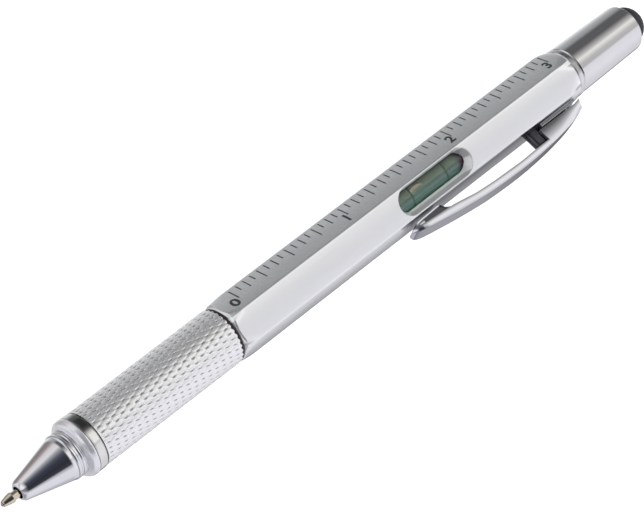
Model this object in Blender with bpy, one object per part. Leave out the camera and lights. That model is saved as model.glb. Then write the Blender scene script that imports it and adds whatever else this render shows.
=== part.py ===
"""Hexagonal multi tool pen: ball pen, ruler, spirit level, pocket clip, screwdriver and soft tip.

X runs along the pen from the ruler's zero line towards the soft tip, and Z is up.
The pen lies on one flat, with the level's window in the flat on top.
"""

import math

import bmesh
import bpy
from mathutils import Matrix, Vector

# Shared fits
SEAT_GAP = 0.00008
FIT_GAP = 0.00005
RUN_GAP = 0.00010
OVERRUN = 0.0010

# Hexagonal barrel, placed from the ruler's zero line
FLAT_WIDTH = 0.0098
CORNER_RADIUS = 0.0009
BARREL_LEAD = 0.0042
BORE_RADIUS = 0.0034
FRONT_TURN_DROP = 0.00028
FRONT_TURN_LENGTH = 0.0022
REAR_TURN_DROP = 0.00064
REAR_TURN_LENGTH = 0.0030
TURN_SHARES = ((0.0, 1.0), (0.2, 0.78), (0.45, 0.50), (0.72, 0.22), (1.0, 0.0))

# Window of the level
WINDOW_LENGTH = 0.0175
WINDOW_WIDTH = 0.0053
WINDOW_INSET = 0.0008
WINDOW_SLOPE_DEPTH = 0.0017

# Level vial
VIAL_SPACE = 0.00403
VIAL_LENGTH = 0.0200
VIAL_WALL = 0.0006
VIAL_GAP = 0.00015
PLUG_LENGTH = 0.0016
LINE_WIDTH = 0.00035
LINE_THICKNESS = 0.00008
LINE_SPACING = 0.0083
LINE_CENTRE_SHIFT = -0.0003
BUBBLE_LENGTH = 0.0044
BUBBLE_RADIUS = 0.0008
BUBBLE_TRAVEL = 0.0096
BUBBLE_REST = 0.0012
BUBBLE_DEPTH = 0.0009

# Friction ring between the grip and the barrel
RING_WIDTH = 0.0006
RING_RADIUS = 0.00503

# Knurled grip, a little wider at its rear
GRIP_LENGTH = 0.02898
GRIP_FRONT_RADIUS = 0.00500
GRIP_REAR_RADIUS = 0.00508
GRIP_EDGE = 0.00025
GRIP_WALL = 0.0016

# Plain band
BAND_WIDTH = 0.00168
BAND_RADIUS = 0.00502
BAND_EDGE = 0.00012

# Nose cone
CONE_LENGTH = 0.0089
CONE_RIM_RADIUS = 0.00142
CONE_CHAMFER_LENGTH = 0.0004
CONE_CHAMFER_RADIUS = 0.00175
CONE_REAR_RADIUS = 0.00388
NOSE_RINGS = 2
NOSE_RING_PITCH = 0.00093
NOSE_RING_RADIUS = 0.00402
NOSE_RING_DEPTH = 0.00020
NOSE_RING_SHARES = ((0.06, 0.0), (0.14, 1.0), (0.72, 1.0), (0.80, 0.0))
FLARE_LENGTH = 0.00154
FLARE_RADIUS = 0.00512
FLARE_SHARES = ((0.0, 0.30), (0.10, 0.60), (0.21, 0.80), (0.52, 0.96), (0.88, 1.0), (0.95, 1.0))
FLARE_END_SHARE = 0.95
SPIGOT_LENGTH = 0.0068
SPIGOT_WALL = 0.0007
NOSE_GUIDE_LENGTH = 0.0018
NOSE_THROAT_LENGTH = 0.0032
NOSE_HOLE_GAP = 0.00022

# Writing point and ball
BALL_RADIUS = 0.00035
BALL_GAP = 0.00004
TIP_OUT = 0.0034
TIP_CONE_LENGTH = 0.0021
TIP_RADIUS = 0.00088
TIP_LIP = 0.00007
TIP_SHARES = ((0.0, 0.0), (0.05, 0.14), (0.33, 0.50), (0.64, 0.78), (1.0, 1.0))
TIP_NECK_RADIUS = 0.0007
TIP_NECK_LENGTH = 0.0046
TIP_PLUG_LENGTH = 0.0020

# Refill
REFILL_LENGTH = 0.0670
REFILL_RADIUS = 0.001175
REFILL_WALL = 0.00028
INK_SHARE = 0.72
COLLAR_START = 0.0174
COLLAR_WIDTH = 0.0008
COLLAR_GAP = 0.0002

# Return spring
WIRE_RADIUS = 0.0002
SPRING_TURNS = 6
SPRING_INNER_GAP = 0.00030
SPRING_OUTER_GAP = 0.00030
SPRING_STEPS = 12

# Twist drive
SLEEVE_NECK = 0.0090
SLEEVE_SPARE = 0.0035
SLEEVE_WALL = 0.00075
SLEEVE_NECK_STEP = 0.0001
CORE_HEAD_LENGTH = 0.0095
CORE_WALL = 0.00055
PLUNGER_GRIP = 0.0060
PLUNGER_FLOOR = 0.0015
PLUNGER_HEAD_LENGTH = 0.0030
KEY_WIDTH = 0.0009
KEY_HEIGHT = 0.00040

# Twist and slide travel of the refill
REFILL_TRAVEL = 0.0045

# Pocket clip: lengths along X, heights measured up from the clip's flat
CLIP_LENGTH = 0.0432
CLIP_HEIGHT = 0.00445
CLIP_WIDTH = 0.0038
CLIP_REAR_INSET = 0.0024
CLIP_OUTER_SHARES = (
    (0.0, 0.35), (0.016, 0.44), (0.055, 0.525), (0.108, 0.588), (0.161, 0.667), (0.214, 0.746),
    (0.27, 0.816), (0.323, 0.874), (0.378, 0.928), (0.433, 0.962), (0.488, 0.984), (0.546, 0.998),
    (0.601, 1.0), (0.659, 0.987), (0.719, 0.957), (0.776, 0.915), (0.836, 0.853), (0.896, 0.77),
    (0.949, 0.66), (1.0, 0.52),
)
CLIP_INNER_SHARES = (
    (0.765, 0.72), (0.666, 0.722), (0.606, 0.742), (0.551, 0.735), (0.493, 0.715), (0.438, 0.698),
    (0.383, 0.663), (0.327, 0.615), (0.274, 0.545), (0.219, 0.456), (0.18, 0.36), (0.17, 0.215),
    (0.13, 0.17), (0.08, 0.16), (0.035, 0.20), (0.008, 0.27),
)
CLIP_PLAN_SHARES = (
    (0.0, 0.35), (0.012, 0.62), (0.035, 0.84), (0.07, 0.94), (0.12, 0.98), (0.35, 1.0),
    (0.55, 0.98), (0.66, 0.93), (0.78, 0.86), (0.90, 0.77), (1.0, 0.66),
)
HEAD_SHARE = 0.2361
HEAD_CLEARANCE = 0.00092
CHANNEL_WIDTH = 0.0020
HEAD_REAR_WALL = 0.0006
HEAD_REAR_SLANT = 0.0006
ROOF_THICKNESS = 0.0009
SEAT_HEIGHT = 0.0007
SEAT_FRONT_INSET = 0.0008
SEAT_REAR_INSET = 0.0012
SEAT_WIDTH = 0.0036
PIN_RADIUS = 0.00030
PIN_INSET = 0.0020
PIN_HEIGHT = 0.0011
LUG_WALL = 0.00030
BOSS_LENGTH = 0.0029
BOSS_WIDTH = 0.0017
BOSS_HEIGHT = 0.0029
BOSS_GAP = 0.0001

# Bit holder and its ring
HOLDER_SPACE = 0.00385
HOLDER_STUB = 0.0040
HOLDER_EDGE = 0.0004
HOLDER_RING_WIDTH = 0.0011
HOLDER_RING_RADIUS = 0.00480
HOLDER_RING_EDGE = 0.00012
SOCKET_FLOOR = 0.0042

# Double-ended screwdriver bit
BIT_WIDTH = 0.0040
BIT_LENGTH = 0.0300
BIT_OUT = 0.0061
BIT_SPACE = 0.0025
BIT_GAP = 0.0001
BIT_NECK_LENGTH = 0.0055
BIT_NECK_RADIUS = 0.0015
BIT_SHOULDER = 0.0008
BIT_CONE_LENGTH = 0.0022
BIT_POINT_RADIUS = 0.0005
CROSS_WIDTH = 0.0007
BLADE_THICKNESS = 0.0007
BLADE_LENGTH = 0.0035

# Rear cap
CAP_FRONT_RADIUS = 0.00469
CAP_REAR_RADIUS = 0.00444
CAP_WALL = 0.0006
CAP_FRONT_EDGE = 0.00012
CAP_REAR_EDGE = 0.00014
CAP_REAR_EDGE_LENGTH = 0.00045
CAP_END_WALL = 0.0024
LINER_INSET = 0.0004
LINER_SPACE = 0.00132

# Soft tip
DOME_RADIUS = 0.0037
DOME_WALL = 0.0007
DOME_SKIRT = 0.0022
STEM_FLANGE = 0.0014
STEM_HEAD_GAP = 0.0004

# Mesh fineness
ROUND_SIDES = 40
VIAL_SIDES = 32
CORE_SIDES = 24
INNER_SIDES = 20
SMALL_SIDES = 16
CORNER_STEPS = 4
DOME_STEPS = 8
HEX_SIDES = 6
SHARP_ANGLE = math.radians(32)

# Stations along X, from the point backwards, each piece set against the one before it
HALF_FLAT = FLAT_WIDTH / 2
CLIP_TURN = math.radians(60)
BARREL_FRONT = -BARREL_LEAD
RING_REAR = BARREL_FRONT - SEAT_GAP
RING_FRONT = RING_REAR - RING_WIDTH
GRIP_REAR = RING_FRONT - SEAT_GAP
GRIP_FRONT = GRIP_REAR - GRIP_LENGTH
BAND_REAR = GRIP_FRONT - SEAT_GAP
BAND_FRONT = BAND_REAR - BAND_WIDTH
NOSE_SHOULDER = BAND_FRONT - SEAT_GAP
NOSE_LENGTH = CONE_LENGTH + NOSE_RINGS * NOSE_RING_PITCH + FLARE_LENGTH
NOSE_FRONT = NOSE_SHOULDER - NOSE_LENGTH
TIP_FRONT = NOSE_FRONT - TIP_OUT
REFILL_REAR = TIP_FRONT + REFILL_LENGTH
PLUNGER_REAR = REFILL_REAR + PLUNGER_FLOOR + RUN_GAP + PLUNGER_HEAD_LENGTH
SLEEVE_REAR = PLUNGER_REAR + REFILL_TRAVEL + SLEEVE_SPARE
VIAL_FRONT = SLEEVE_REAR + VIAL_SPACE
VIAL_REAR = VIAL_FRONT + VIAL_LENGTH
WINDOW_CENTRE = VIAL_FRONT + VIAL_LENGTH / 2
HOLDER_FRONT = VIAL_REAR + HOLDER_SPACE
BIT_FRONT = HOLDER_FRONT + SOCKET_FLOOR + SEAT_GAP
BIT_REAR = BIT_FRONT + BIT_LENGTH
HOLDER_REAR = BIT_REAR - BIT_OUT
HOLDER_RING_REAR = HOLDER_REAR - HOLDER_STUB
HOLDER_RING_FRONT = HOLDER_RING_REAR - HOLDER_RING_WIDTH
BARREL_REAR = HOLDER_RING_FRONT - SEAT_GAP
BARREL_LENGTH = BARREL_REAR - BARREL_FRONT
CAP_FRONT = HOLDER_RING_REAR + SEAT_GAP
CAP_REAR = BIT_REAR + BIT_SPACE + STEM_FLANGE + SEAT_GAP + CAP_END_WALL
CAP_LENGTH = CAP_REAR - CAP_FRONT
LINER_LENGTH = CAP_LENGTH - CAP_END_WALL - SEAT_GAP - STEM_FLANGE - LINER_INSET - LINER_SPACE
CLIP_REAR = BARREL_REAR - CLIP_REAR_INSET
CLIP_FRONT = CLIP_REAR - CLIP_LENGTH
HEAD_LENGTH = HEAD_SHARE * CLIP_LENGTH
HEAD_FRONT = CLIP_REAR - HEAD_LENGTH
SEAT_LENGTH = HEAD_LENGTH - SEAT_FRONT_INSET - SEAT_REAR_INSET
PIN_STATION = CLIP_REAR - PIN_INSET

# Radii that follow from the fits
SLEEVE_RADIUS = BORE_RADIUS - FIT_GAP
SLEEVE_BORE = SLEEVE_RADIUS - SLEEVE_WALL
CORE_RADIUS = SLEEVE_BORE - RUN_GAP
CORE_BORE = CORE_RADIUS - CORE_WALL
PLUNGER_RADIUS = CORE_BORE - RUN_GAP
GRIP_BORE = GRIP_FRONT_RADIUS - GRIP_WALL
SPRING_RADIUS = REFILL_RADIUS + SPRING_INNER_GAP + WIRE_RADIUS
CHAMBER_RADIUS = SPRING_RADIUS + WIRE_RADIUS + SPRING_OUTER_GAP
SPIGOT_RADIUS = GRIP_BORE + SPIGOT_WALL
VIAL_RADIUS = BORE_RADIUS - VIAL_GAP
VIAL_BORE = VIAL_RADIUS - VIAL_WALL
HOLDER_RADIUS = BORE_RADIUS - FIT_GAP
CAP_BORE = CAP_REAR_RADIUS - CAP_WALL


def clear_scene():
    """Remove every object that the scene starts with."""
    for thing in list(bpy.data.objects):
        bpy.data.objects.remove(thing, do_unlink=True)


def new_collection(name, hidden):
    """Make a collection; a hidden one holds the cutters."""
    made = bpy.data.collections.new(name)
    made.hide_render = hidden
    bpy.context.scene.collection.children.link(made)
    return made


def surface(name, colour, roughness, metallic, alpha=1.0):
    """Make one material from its colour, roughness and metallic value."""
    made = bpy.data.materials.new(name)
    made.use_nodes = True
    shader = made.node_tree.nodes["Principled BSDF"]
    shader.inputs["Base Color"].default_value = (*colour, 1.0)
    shader.inputs["Roughness"].default_value = roughness
    shader.inputs["Metallic"].default_value = metallic
    shader.inputs["Alpha"].default_value = alpha
    made.diffuse_color = (*colour, alpha)
    return made


def empty(name, location, turn=0.0, parent=None):
    """Make an empty that carries a body; turn is its rotation about X."""
    made = bpy.data.objects.new(name, None)
    made.empty_display_size = FLAT_WIDTH
    made.location = location
    made.rotation_euler = (turn, 0.0, 0.0)
    made.parent = parent
    PARTS.objects.link(made)
    return made


def finish_mesh(shape, name):
    """Close a bmesh into a mesh with outward normals and smooth shading."""
    bmesh.ops.recalc_face_normals(shape, faces=shape.faces[:])
    mesh = bpy.data.meshes.new(name)
    shape.to_mesh(mesh)
    shape.free()
    mesh.shade_smooth()
    mesh.set_sharp_from_angle(angle=SHARP_ANGLE)
    return mesh


def place(mesh, name, location, parent, look):
    """Make a piece from a mesh and link it to the part's collection."""
    piece = bpy.data.objects.new(name, mesh)
    piece.location = location
    piece.parent = parent
    if look:
        mesh.materials.append(look)
    PARTS.objects.link(piece)
    return piece


def make_cutter(mesh, name, location, parent):
    """Make a hidden solid that a Boolean uses."""
    tool = bpy.data.objects.new(name, mesh)
    tool.location = location
    tool.parent = parent
    tool.hide_render = True
    tool.display_type = "WIRE"
    CUTTERS.objects.link(tool)
    return tool


def combine(piece, tool, operation):
    """Add one exact Boolean to a piece."""
    step = piece.modifiers.new(tool.name, "BOOLEAN")
    step.operation = operation
    step.solver = "EXACT"
    step.object = tool


def turned_mesh(name, outline, sides):
    """Turn an outline of (x, radius) about X; one that starts off the axis is closed on itself."""
    shape = bmesh.new()
    rings = []
    for along, radius in outline:
        if radius <= 0.0:
            rings.append([shape.verts.new((along, 0.0, 0.0))])
            continue
        ring = []
        for step in range(sides):
            angle = 2 * math.pi * step / sides
            ring.append(shape.verts.new((along, radius * math.cos(angle), radius * math.sin(angle))))
        rings.append(ring)
    pairs = list(zip(rings, rings[1:]))
    if outline[0][1] > 0.0:
        pairs.append((rings[-1], rings[0]))
    for first, second in pairs:
        for step in range(sides):
            after = (step + 1) % sides
            if len(first) == 1:
                shape.faces.new((first[0], second[step], second[after]))
            elif len(second) == 1:
                shape.faces.new((first[step], second[0], first[after]))
            else:
                shape.faces.new((first[step], second[step], second[after], first[after]))
    return finish_mesh(shape, name)


def prism_mesh(name, section, start, end):
    """Run a closed (y, z) section along X from start to end."""
    shape = bmesh.new()
    near = [shape.verts.new((start, across, up)) for across, up in section]
    far = [shape.verts.new((end, across, up)) for across, up in section]
    count = len(section)
    for step in range(count):
        after = (step + 1) % count
        shape.faces.new((near[step], near[after], far[after], far[step]))
    shape.faces.new(near)
    shape.faces.new(far)
    return finish_mesh(shape, name)


def plate_mesh(name, outline, width):
    """Give a closed (x, z) outline a width across Y."""
    shape = bmesh.new()
    left = [shape.verts.new((along, -width / 2, up)) for along, up in outline]
    right = [shape.verts.new((along, width / 2, up)) for along, up in outline]
    count = len(outline)
    for step in range(count):
        after = (step + 1) % count
        shape.faces.new((left[step], left[after], right[after], right[step]))
    shape.faces.new(left)
    shape.faces.new(right)
    return finish_mesh(shape, name)


def stacked_mesh(name, loops):
    """Join closed loops of equal counts, one above the other, and cap both ends."""
    shape = bmesh.new()
    rows = [[shape.verts.new(point) for point in loop] for loop in loops]
    count = len(rows[0])
    for low, high in zip(rows, rows[1:]):
        for step in range(count):
            after = (step + 1) % count
            shape.faces.new((low[step], low[after], high[after], high[step]))
    shape.faces.new(rows[0])
    shape.faces.new(rows[-1])
    return finish_mesh(shape, name)


def box_mesh(name, low, high):
    """Make a box between two corners."""
    shape = bmesh.new()
    size = Vector(high) - Vector(low)
    middle = (Vector(high) + Vector(low)) / 2
    stretch = Matrix.Translation(middle) @ Matrix.Diagonal((*size, 1.0))
    bmesh.ops.create_cube(shape, size=1.0, matrix=stretch)
    return finish_mesh(shape, name)


def hexagon(half_width, radius):
    """Section of a hexagon with a flat on top, its corners rounded to a radius."""
    section = []
    steps = CORNER_STEPS if radius > 0.0 else 0
    reach = (half_width - radius) / math.cos(math.pi / HEX_SIDES)
    for corner in range(HEX_SIDES):
        middle = 2 * math.pi * corner / HEX_SIDES
        for step in range(steps + 1):
            share = step / steps - 0.5 if steps else 0.0
            angle = middle + share * 2 * math.pi / HEX_SIDES
            across = reach * math.cos(middle) + radius * math.cos(angle)
            up = reach * math.sin(middle) + radius * math.sin(angle)
            section.append((across, up))
    return section


def corner_reach():
    """Distance from the axis to the barrel's rounded corners."""
    return (HALF_FLAT - CORNER_RADIUS) / math.cos(math.pi / HEX_SIDES) + CORNER_RADIUS


def obround(length, width, up):
    """Loop with straight sides along X and round ends, at one height."""
    loop = []
    half = length / 2 - width / 2
    for end in (1, -1):
        for step in range(SMALL_SIDES // 2 + 1):
            angle = math.pi * step / (SMALL_SIDES // 2) - math.pi / 2
            along = end * (half + width / 2 * math.cos(angle))
            loop.append((along, end * width / 2 * math.sin(angle), up))
    return loop


def make_barrel(carrier, look):
    """Hexagonal tube: turned at both ends, bored through, with the window cut in its top flat."""
    mesh = prism_mesh("hex_barrel", hexagon(HALF_FLAT, CORNER_RADIUS), 0.0, BARREL_LENGTH)
    barrel = place(mesh, "hex_barrel", (BARREL_FRONT, 0.0, 0.0), carrier, look)
    reach = corner_reach()
    outline = [(-OVERRUN, 0.0), (-OVERRUN, reach - FRONT_TURN_DROP)]
    outline += [(share * FRONT_TURN_LENGTH, reach - left * FRONT_TURN_DROP) for share, left in TURN_SHARES]
    outline += [(FRONT_TURN_LENGTH + OVERRUN, reach + OVERRUN)]
    outline += [(BARREL_LENGTH - REAR_TURN_LENGTH - OVERRUN, reach + OVERRUN)]
    for share, left in reversed(TURN_SHARES):
        outline.append((BARREL_LENGTH - share * REAR_TURN_LENGTH, reach - left * REAR_TURN_DROP))
    outline += [(BARREL_LENGTH + OVERRUN, reach - REAR_TURN_DROP), (BARREL_LENGTH + OVERRUN, 0.0)]
    envelope = turned_mesh("barrel_turning", outline, 2 * ROUND_SIDES)
    combine(barrel, make_cutter(envelope, "barrel_turning", (BARREL_FRONT, 0.0, 0.0), carrier), "INTERSECT")
    drill = [(-OVERRUN, 0.0), (-OVERRUN, BORE_RADIUS)]
    drill += [(BARREL_LENGTH + OVERRUN, BORE_RADIUS), (BARREL_LENGTH + OVERRUN, 0.0)]
    bore = turned_mesh("barrel_drill", drill, ROUND_SIDES)
    combine(barrel, make_cutter(bore, "barrel_drill", (BARREL_FRONT, 0.0, 0.0), carrier), "DIFFERENCE")
    inner_length = WINDOW_LENGTH - 2 * WINDOW_INSET
    inner_width = WINDOW_WIDTH - 2 * WINDOW_INSET
    grow = 2 * WINDOW_INSET * OVERRUN / WINDOW_SLOPE_DEPTH
    loops = [
        obround(inner_length, inner_width, HALF_FLAT - WINDOW_SLOPE_DEPTH - OVERRUN),
        obround(inner_length, inner_width, HALF_FLAT - WINDOW_SLOPE_DEPTH),
        obround(WINDOW_LENGTH, WINDOW_WIDTH, HALF_FLAT),
        obround(WINDOW_LENGTH + grow, WINDOW_WIDTH + grow, HALF_FLAT + OVERRUN),
    ]
    window = stacked_mesh("window_cut", loops)
    combine(barrel, make_cutter(window, "window_cut", (WINDOW_CENTRE, 0.0, 0.0), carrier), "DIFFERENCE")


def make_vial(carrier, bubble_carrier, looks):
    """Clear tube with its stoppers, liquid, bubble and the two reading lines."""
    outline = [(0.0, VIAL_RADIUS), (VIAL_LENGTH, VIAL_RADIUS), (VIAL_LENGTH, VIAL_BORE), (0.0, VIAL_BORE)]
    mesh = turned_mesh("vial_tube", outline, VIAL_SIDES)
    place(mesh, "vial_tube", (VIAL_FRONT, 0.0, 0.0), carrier, looks["vial"])
    plug_radius = VIAL_BORE - FIT_GAP
    plug = [(0.0, 0.0), (0.0, plug_radius), (PLUG_LENGTH, plug_radius), (PLUG_LENGTH, 0.0)]
    stations = {"vial_plug_front": VIAL_FRONT, "vial_plug_rear": VIAL_REAR - PLUG_LENGTH}
    for name, station in stations.items():
        place(turned_mesh(name, plug, INNER_SIDES), name, (station, 0.0, 0.0), carrier, looks["stopper"])
    line_radius = VIAL_RADIUS + FIT_GAP / 2
    line = [
        (-LINE_WIDTH / 2, line_radius),
        (-LINE_WIDTH / 2, line_radius + LINE_THICKNESS),
        (LINE_WIDTH / 2, line_radius + LINE_THICKNESS),
        (LINE_WIDTH / 2, line_radius),
    ]
    middle = WINDOW_CENTRE + LINE_CENTRE_SHIFT
    for name, side in (("vial_line_front", -1), ("vial_line_rear", 1)):
        station = middle + side * LINE_SPACING / 2
        place(turned_mesh(name, line, VIAL_SIDES), name, (station, 0.0, 0.0), carrier, looks["line"])
    fluid_length = VIAL_LENGTH - 2 * PLUG_LENGTH - 2 * SEAT_GAP
    half = fluid_length / 2
    body = [(-half, 0.0), (-half, plug_radius), (half, plug_radius), (half, 0.0)]
    mesh = turned_mesh("vial_fluid", body, CORE_SIDES)
    fluid = place(mesh, "vial_fluid", (WINDOW_CENTRE, 0.0, 0.0), carrier, looks["fluid"])
    height = VIAL_BORE - BUBBLE_DEPTH
    groove_half = BUBBLE_TRAVEL / 2 + BUBBLE_LENGTH / 2 + RUN_GAP
    groove_radius = BUBBLE_RADIUS + RUN_GAP
    groove = [(-groove_half, 0.0), (-groove_half, groove_radius)]
    groove += [(groove_half, groove_radius), (groove_half, 0.0)]
    mesh = turned_mesh("bubble_groove", groove, INNER_SIDES)
    combine(fluid, make_cutter(mesh, "bubble_groove", (WINDOW_CENTRE, 0.0, height), carrier), "DIFFERENCE")
    ends = DOME_STEPS // 2
    reach = BUBBLE_LENGTH / 2 - BUBBLE_RADIUS
    outline = []
    for step in range(ends + 1):
        angle = math.pi / 2 * step / ends
        outline.append((-reach - BUBBLE_RADIUS * math.cos(angle), BUBBLE_RADIUS * math.sin(angle)))
    outline += [(-along, radius) for along, radius in reversed(outline)]
    mesh = turned_mesh("air_bubble", outline, SMALL_SIDES)
    place(mesh, "air_bubble", (0.0, 0.0, 0.0), bubble_carrier, looks["air"])


def make_friction_ring(carrier, look):
    """Thin ring between the grip and the barrel."""
    inner = SLEEVE_RADIUS - SLEEVE_NECK_STEP + RUN_GAP
    outline = [(0.0, RING_RADIUS), (RING_WIDTH, RING_RADIUS), (RING_WIDTH, inner), (0.0, inner)]
    mesh = turned_mesh("friction_ring", outline, ROUND_SIDES)
    place(mesh, "friction_ring", (RING_FRONT, 0.0, 0.0), carrier, look)


def make_grip(carrier, look):
    """Round sleeve that is twisted: wide bore in front for the nose, narrower behind for the core."""
    seat = SPIGOT_LENGTH - BAND_WIDTH - SEAT_GAP
    wide = SPIGOT_RADIUS + FIT_GAP
    outline = [
        (0.0, GRIP_FRONT_RADIUS - GRIP_EDGE),
        (GRIP_EDGE, GRIP_FRONT_RADIUS),
        (GRIP_LENGTH - GRIP_EDGE, GRIP_REAR_RADIUS),
        (GRIP_LENGTH, GRIP_REAR_RADIUS - GRIP_EDGE),
        (GRIP_LENGTH, GRIP_BORE),
        (seat, GRIP_BORE),
        (seat, wide),
        (0.0, wide),
    ]
    mesh = turned_mesh("knurled_grip", outline, ROUND_SIDES)
    place(mesh, "knurled_grip", (GRIP_FRONT, 0.0, 0.0), carrier, look)


def make_band(carrier, look):
    """Plain band held between the nose and the grip."""
    inner = SPIGOT_RADIUS + FIT_GAP
    outline = [
        (0.0, BAND_RADIUS - BAND_EDGE),
        (BAND_EDGE, BAND_RADIUS),
        (BAND_WIDTH - BAND_EDGE, BAND_RADIUS),
        (BAND_WIDTH, BAND_RADIUS - BAND_EDGE),
        (BAND_WIDTH, inner),
        (0.0, inner),
    ]
    mesh = turned_mesh("grip_band", outline, ROUND_SIDES)
    place(mesh, "grip_band", (BAND_FRONT, 0.0, 0.0), carrier, look)


def make_nose(carrier, look):
    """Cone with two rings, a flare and a spigot that fits in the grip."""
    outline = [(0.0, CONE_RIM_RADIUS), (CONE_CHAMFER_LENGTH, CONE_CHAMFER_RADIUS)]
    outline.append((CONE_LENGTH, CONE_REAR_RADIUS))
    low = NOSE_RING_RADIUS - NOSE_RING_DEPTH
    for ring in range(NOSE_RINGS):
        start = CONE_LENGTH + ring * NOSE_RING_PITCH
        for share, rise in NOSE_RING_SHARES:
            outline.append((start + share * NOSE_RING_PITCH, low + rise * NOSE_RING_DEPTH))
    start = CONE_LENGTH + NOSE_RINGS * NOSE_RING_PITCH
    for share, rise in FLARE_SHARES:
        outline.append((start + share * FLARE_LENGTH, low + rise * (FLARE_RADIUS - low)))
    outline.append((NOSE_LENGTH, low + FLARE_END_SHARE * (FLARE_RADIUS - low)))
    tip_hole = TIP_RADIUS + NOSE_HOLE_GAP
    throat = REFILL_RADIUS + SPRING_INNER_GAP
    outline += [
        (NOSE_LENGTH, SPIGOT_RADIUS),
        (NOSE_LENGTH + SPIGOT_LENGTH, SPIGOT_RADIUS),
        (NOSE_LENGTH + SPIGOT_LENGTH, CHAMBER_RADIUS),
        (NOSE_GUIDE_LENGTH + NOSE_THROAT_LENGTH, CHAMBER_RADIUS),
        (NOSE_GUIDE_LENGTH + NOSE_THROAT_LENGTH, throat),
        (NOSE_GUIDE_LENGTH, throat),
        (NOSE_GUIDE_LENGTH, tip_hole),
        (0.0, tip_hole),
    ]
    mesh = turned_mesh("nose_cone", outline, ROUND_SIDES)
    place(mesh, "nose_cone", (NOSE_FRONT, 0.0, 0.0), carrier, look)


def make_point(carrier, ball_carrier, looks):
    """Writing point with a socket for its ball."""
    socket = BALL_RADIUS + BALL_GAP
    rim = socket + TIP_LIP
    start = BALL_RADIUS - BALL_GAP
    floor = 2 * BALL_RADIUS + BALL_GAP
    outline = [(floor, 0.0), (floor, socket), (start, socket)]
    for share, rise in TIP_SHARES:
        outline.append((start + share * (TIP_CONE_LENGTH - start), rim + rise * (TIP_RADIUS - rim)))
    rear = TIP_CONE_LENGTH + TIP_NECK_LENGTH
    plug = REFILL_RADIUS - REFILL_WALL - FIT_GAP
    outline += [
        (TIP_CONE_LENGTH + RUN_GAP, TIP_NECK_RADIUS),
        (rear, TIP_NECK_RADIUS),
        (rear, plug),
        (rear + TIP_PLUG_LENGTH, plug),
        (rear + TIP_PLUG_LENGTH, 0.0),
    ]
    mesh = turned_mesh("refill_tip", outline, INNER_SIDES)
    place(mesh, "refill_tip", (TIP_FRONT, 0.0, 0.0), carrier, looks["point"])
    outline = []
    for step in range(DOME_STEPS + 1):
        angle = math.pi * step / DOME_STEPS
        across = BALL_RADIUS * math.sin(angle) if 0 < step < DOME_STEPS else 0.0
        outline.append((-BALL_RADIUS * math.cos(angle), across))
    mesh = turned_mesh("writing_ball", outline, SMALL_SIDES)
    place(mesh, "writing_ball", (0.0, 0.0, 0.0), ball_carrier, looks["ball"])


def make_refill(carrier, looks):
    """Ink tube with the collar that the spring pushes on, and the ink inside."""
    front = TIP_CONE_LENGTH + TIP_NECK_LENGTH + RUN_GAP
    bore = REFILL_RADIUS - REFILL_WALL
    length = REFILL_LENGTH - front
    collar = COLLAR_START - front
    collar_radius = CHAMBER_RADIUS - COLLAR_GAP
    outline = [
        (0.0, REFILL_RADIUS),
        (collar, REFILL_RADIUS),
        (collar, collar_radius),
        (collar + COLLAR_WIDTH, collar_radius),
        (collar + COLLAR_WIDTH, REFILL_RADIUS),
        (length, REFILL_RADIUS),
        (length, bore),
        (0.0, bore),
    ]
    mesh = turned_mesh("refill_tube", outline, INNER_SIDES)
    place(mesh, "refill_tube", (TIP_FRONT + front, 0.0, 0.0), carrier, looks["tube"])
    radius = bore - FIT_GAP
    start = TIP_PLUG_LENGTH + SEAT_GAP
    end = start + INK_SHARE * (length - start)
    outline = [(start, 0.0), (start, radius), (end, radius), (end, 0.0)]
    mesh = turned_mesh("refill_ink", outline, SMALL_SIDES)
    place(mesh, "refill_ink", (TIP_FRONT + front, 0.0, 0.0), carrier, looks["ink"])


def make_spring(carrier, look):
    """Coil spring between the nose's inner shoulder and the refill's collar."""
    front = NOSE_FRONT + NOSE_GUIDE_LENGTH + NOSE_THROAT_LENGTH + WIRE_RADIUS + RUN_GAP
    rear = TIP_FRONT + COLLAR_START - WIRE_RADIUS - RUN_GAP
    curve = bpy.data.curves.new("return_spring", "CURVE")
    curve.dimensions = "3D"
    curve.bevel_depth = WIRE_RADIUS
    curve.bevel_resolution = 1
    curve.use_fill_caps = True
    count = SPRING_TURNS * SPRING_STEPS + 1
    line = curve.splines.new("POLY")
    line.points.add(count - 1)
    for step in range(count):
        share = step / (count - 1)
        angle = 2 * math.pi * SPRING_TURNS * share
        along = share * (rear - front)
        point = (along, SPRING_RADIUS * math.cos(angle), SPRING_RADIUS * math.sin(angle), 1.0)
        line.points[step].co = point
    curve.materials.append(look)
    spring = bpy.data.objects.new("return_spring", curve)
    spring.location = (front, 0.0, 0.0)
    spring.parent = carrier
    PARTS.objects.link(spring)
    pitch = (rear - front) / SPRING_TURNS
    print("return_spring least gap between turns, mm:", round(1000 * (pitch - 2 * WIRE_RADIUS), 2))


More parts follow.
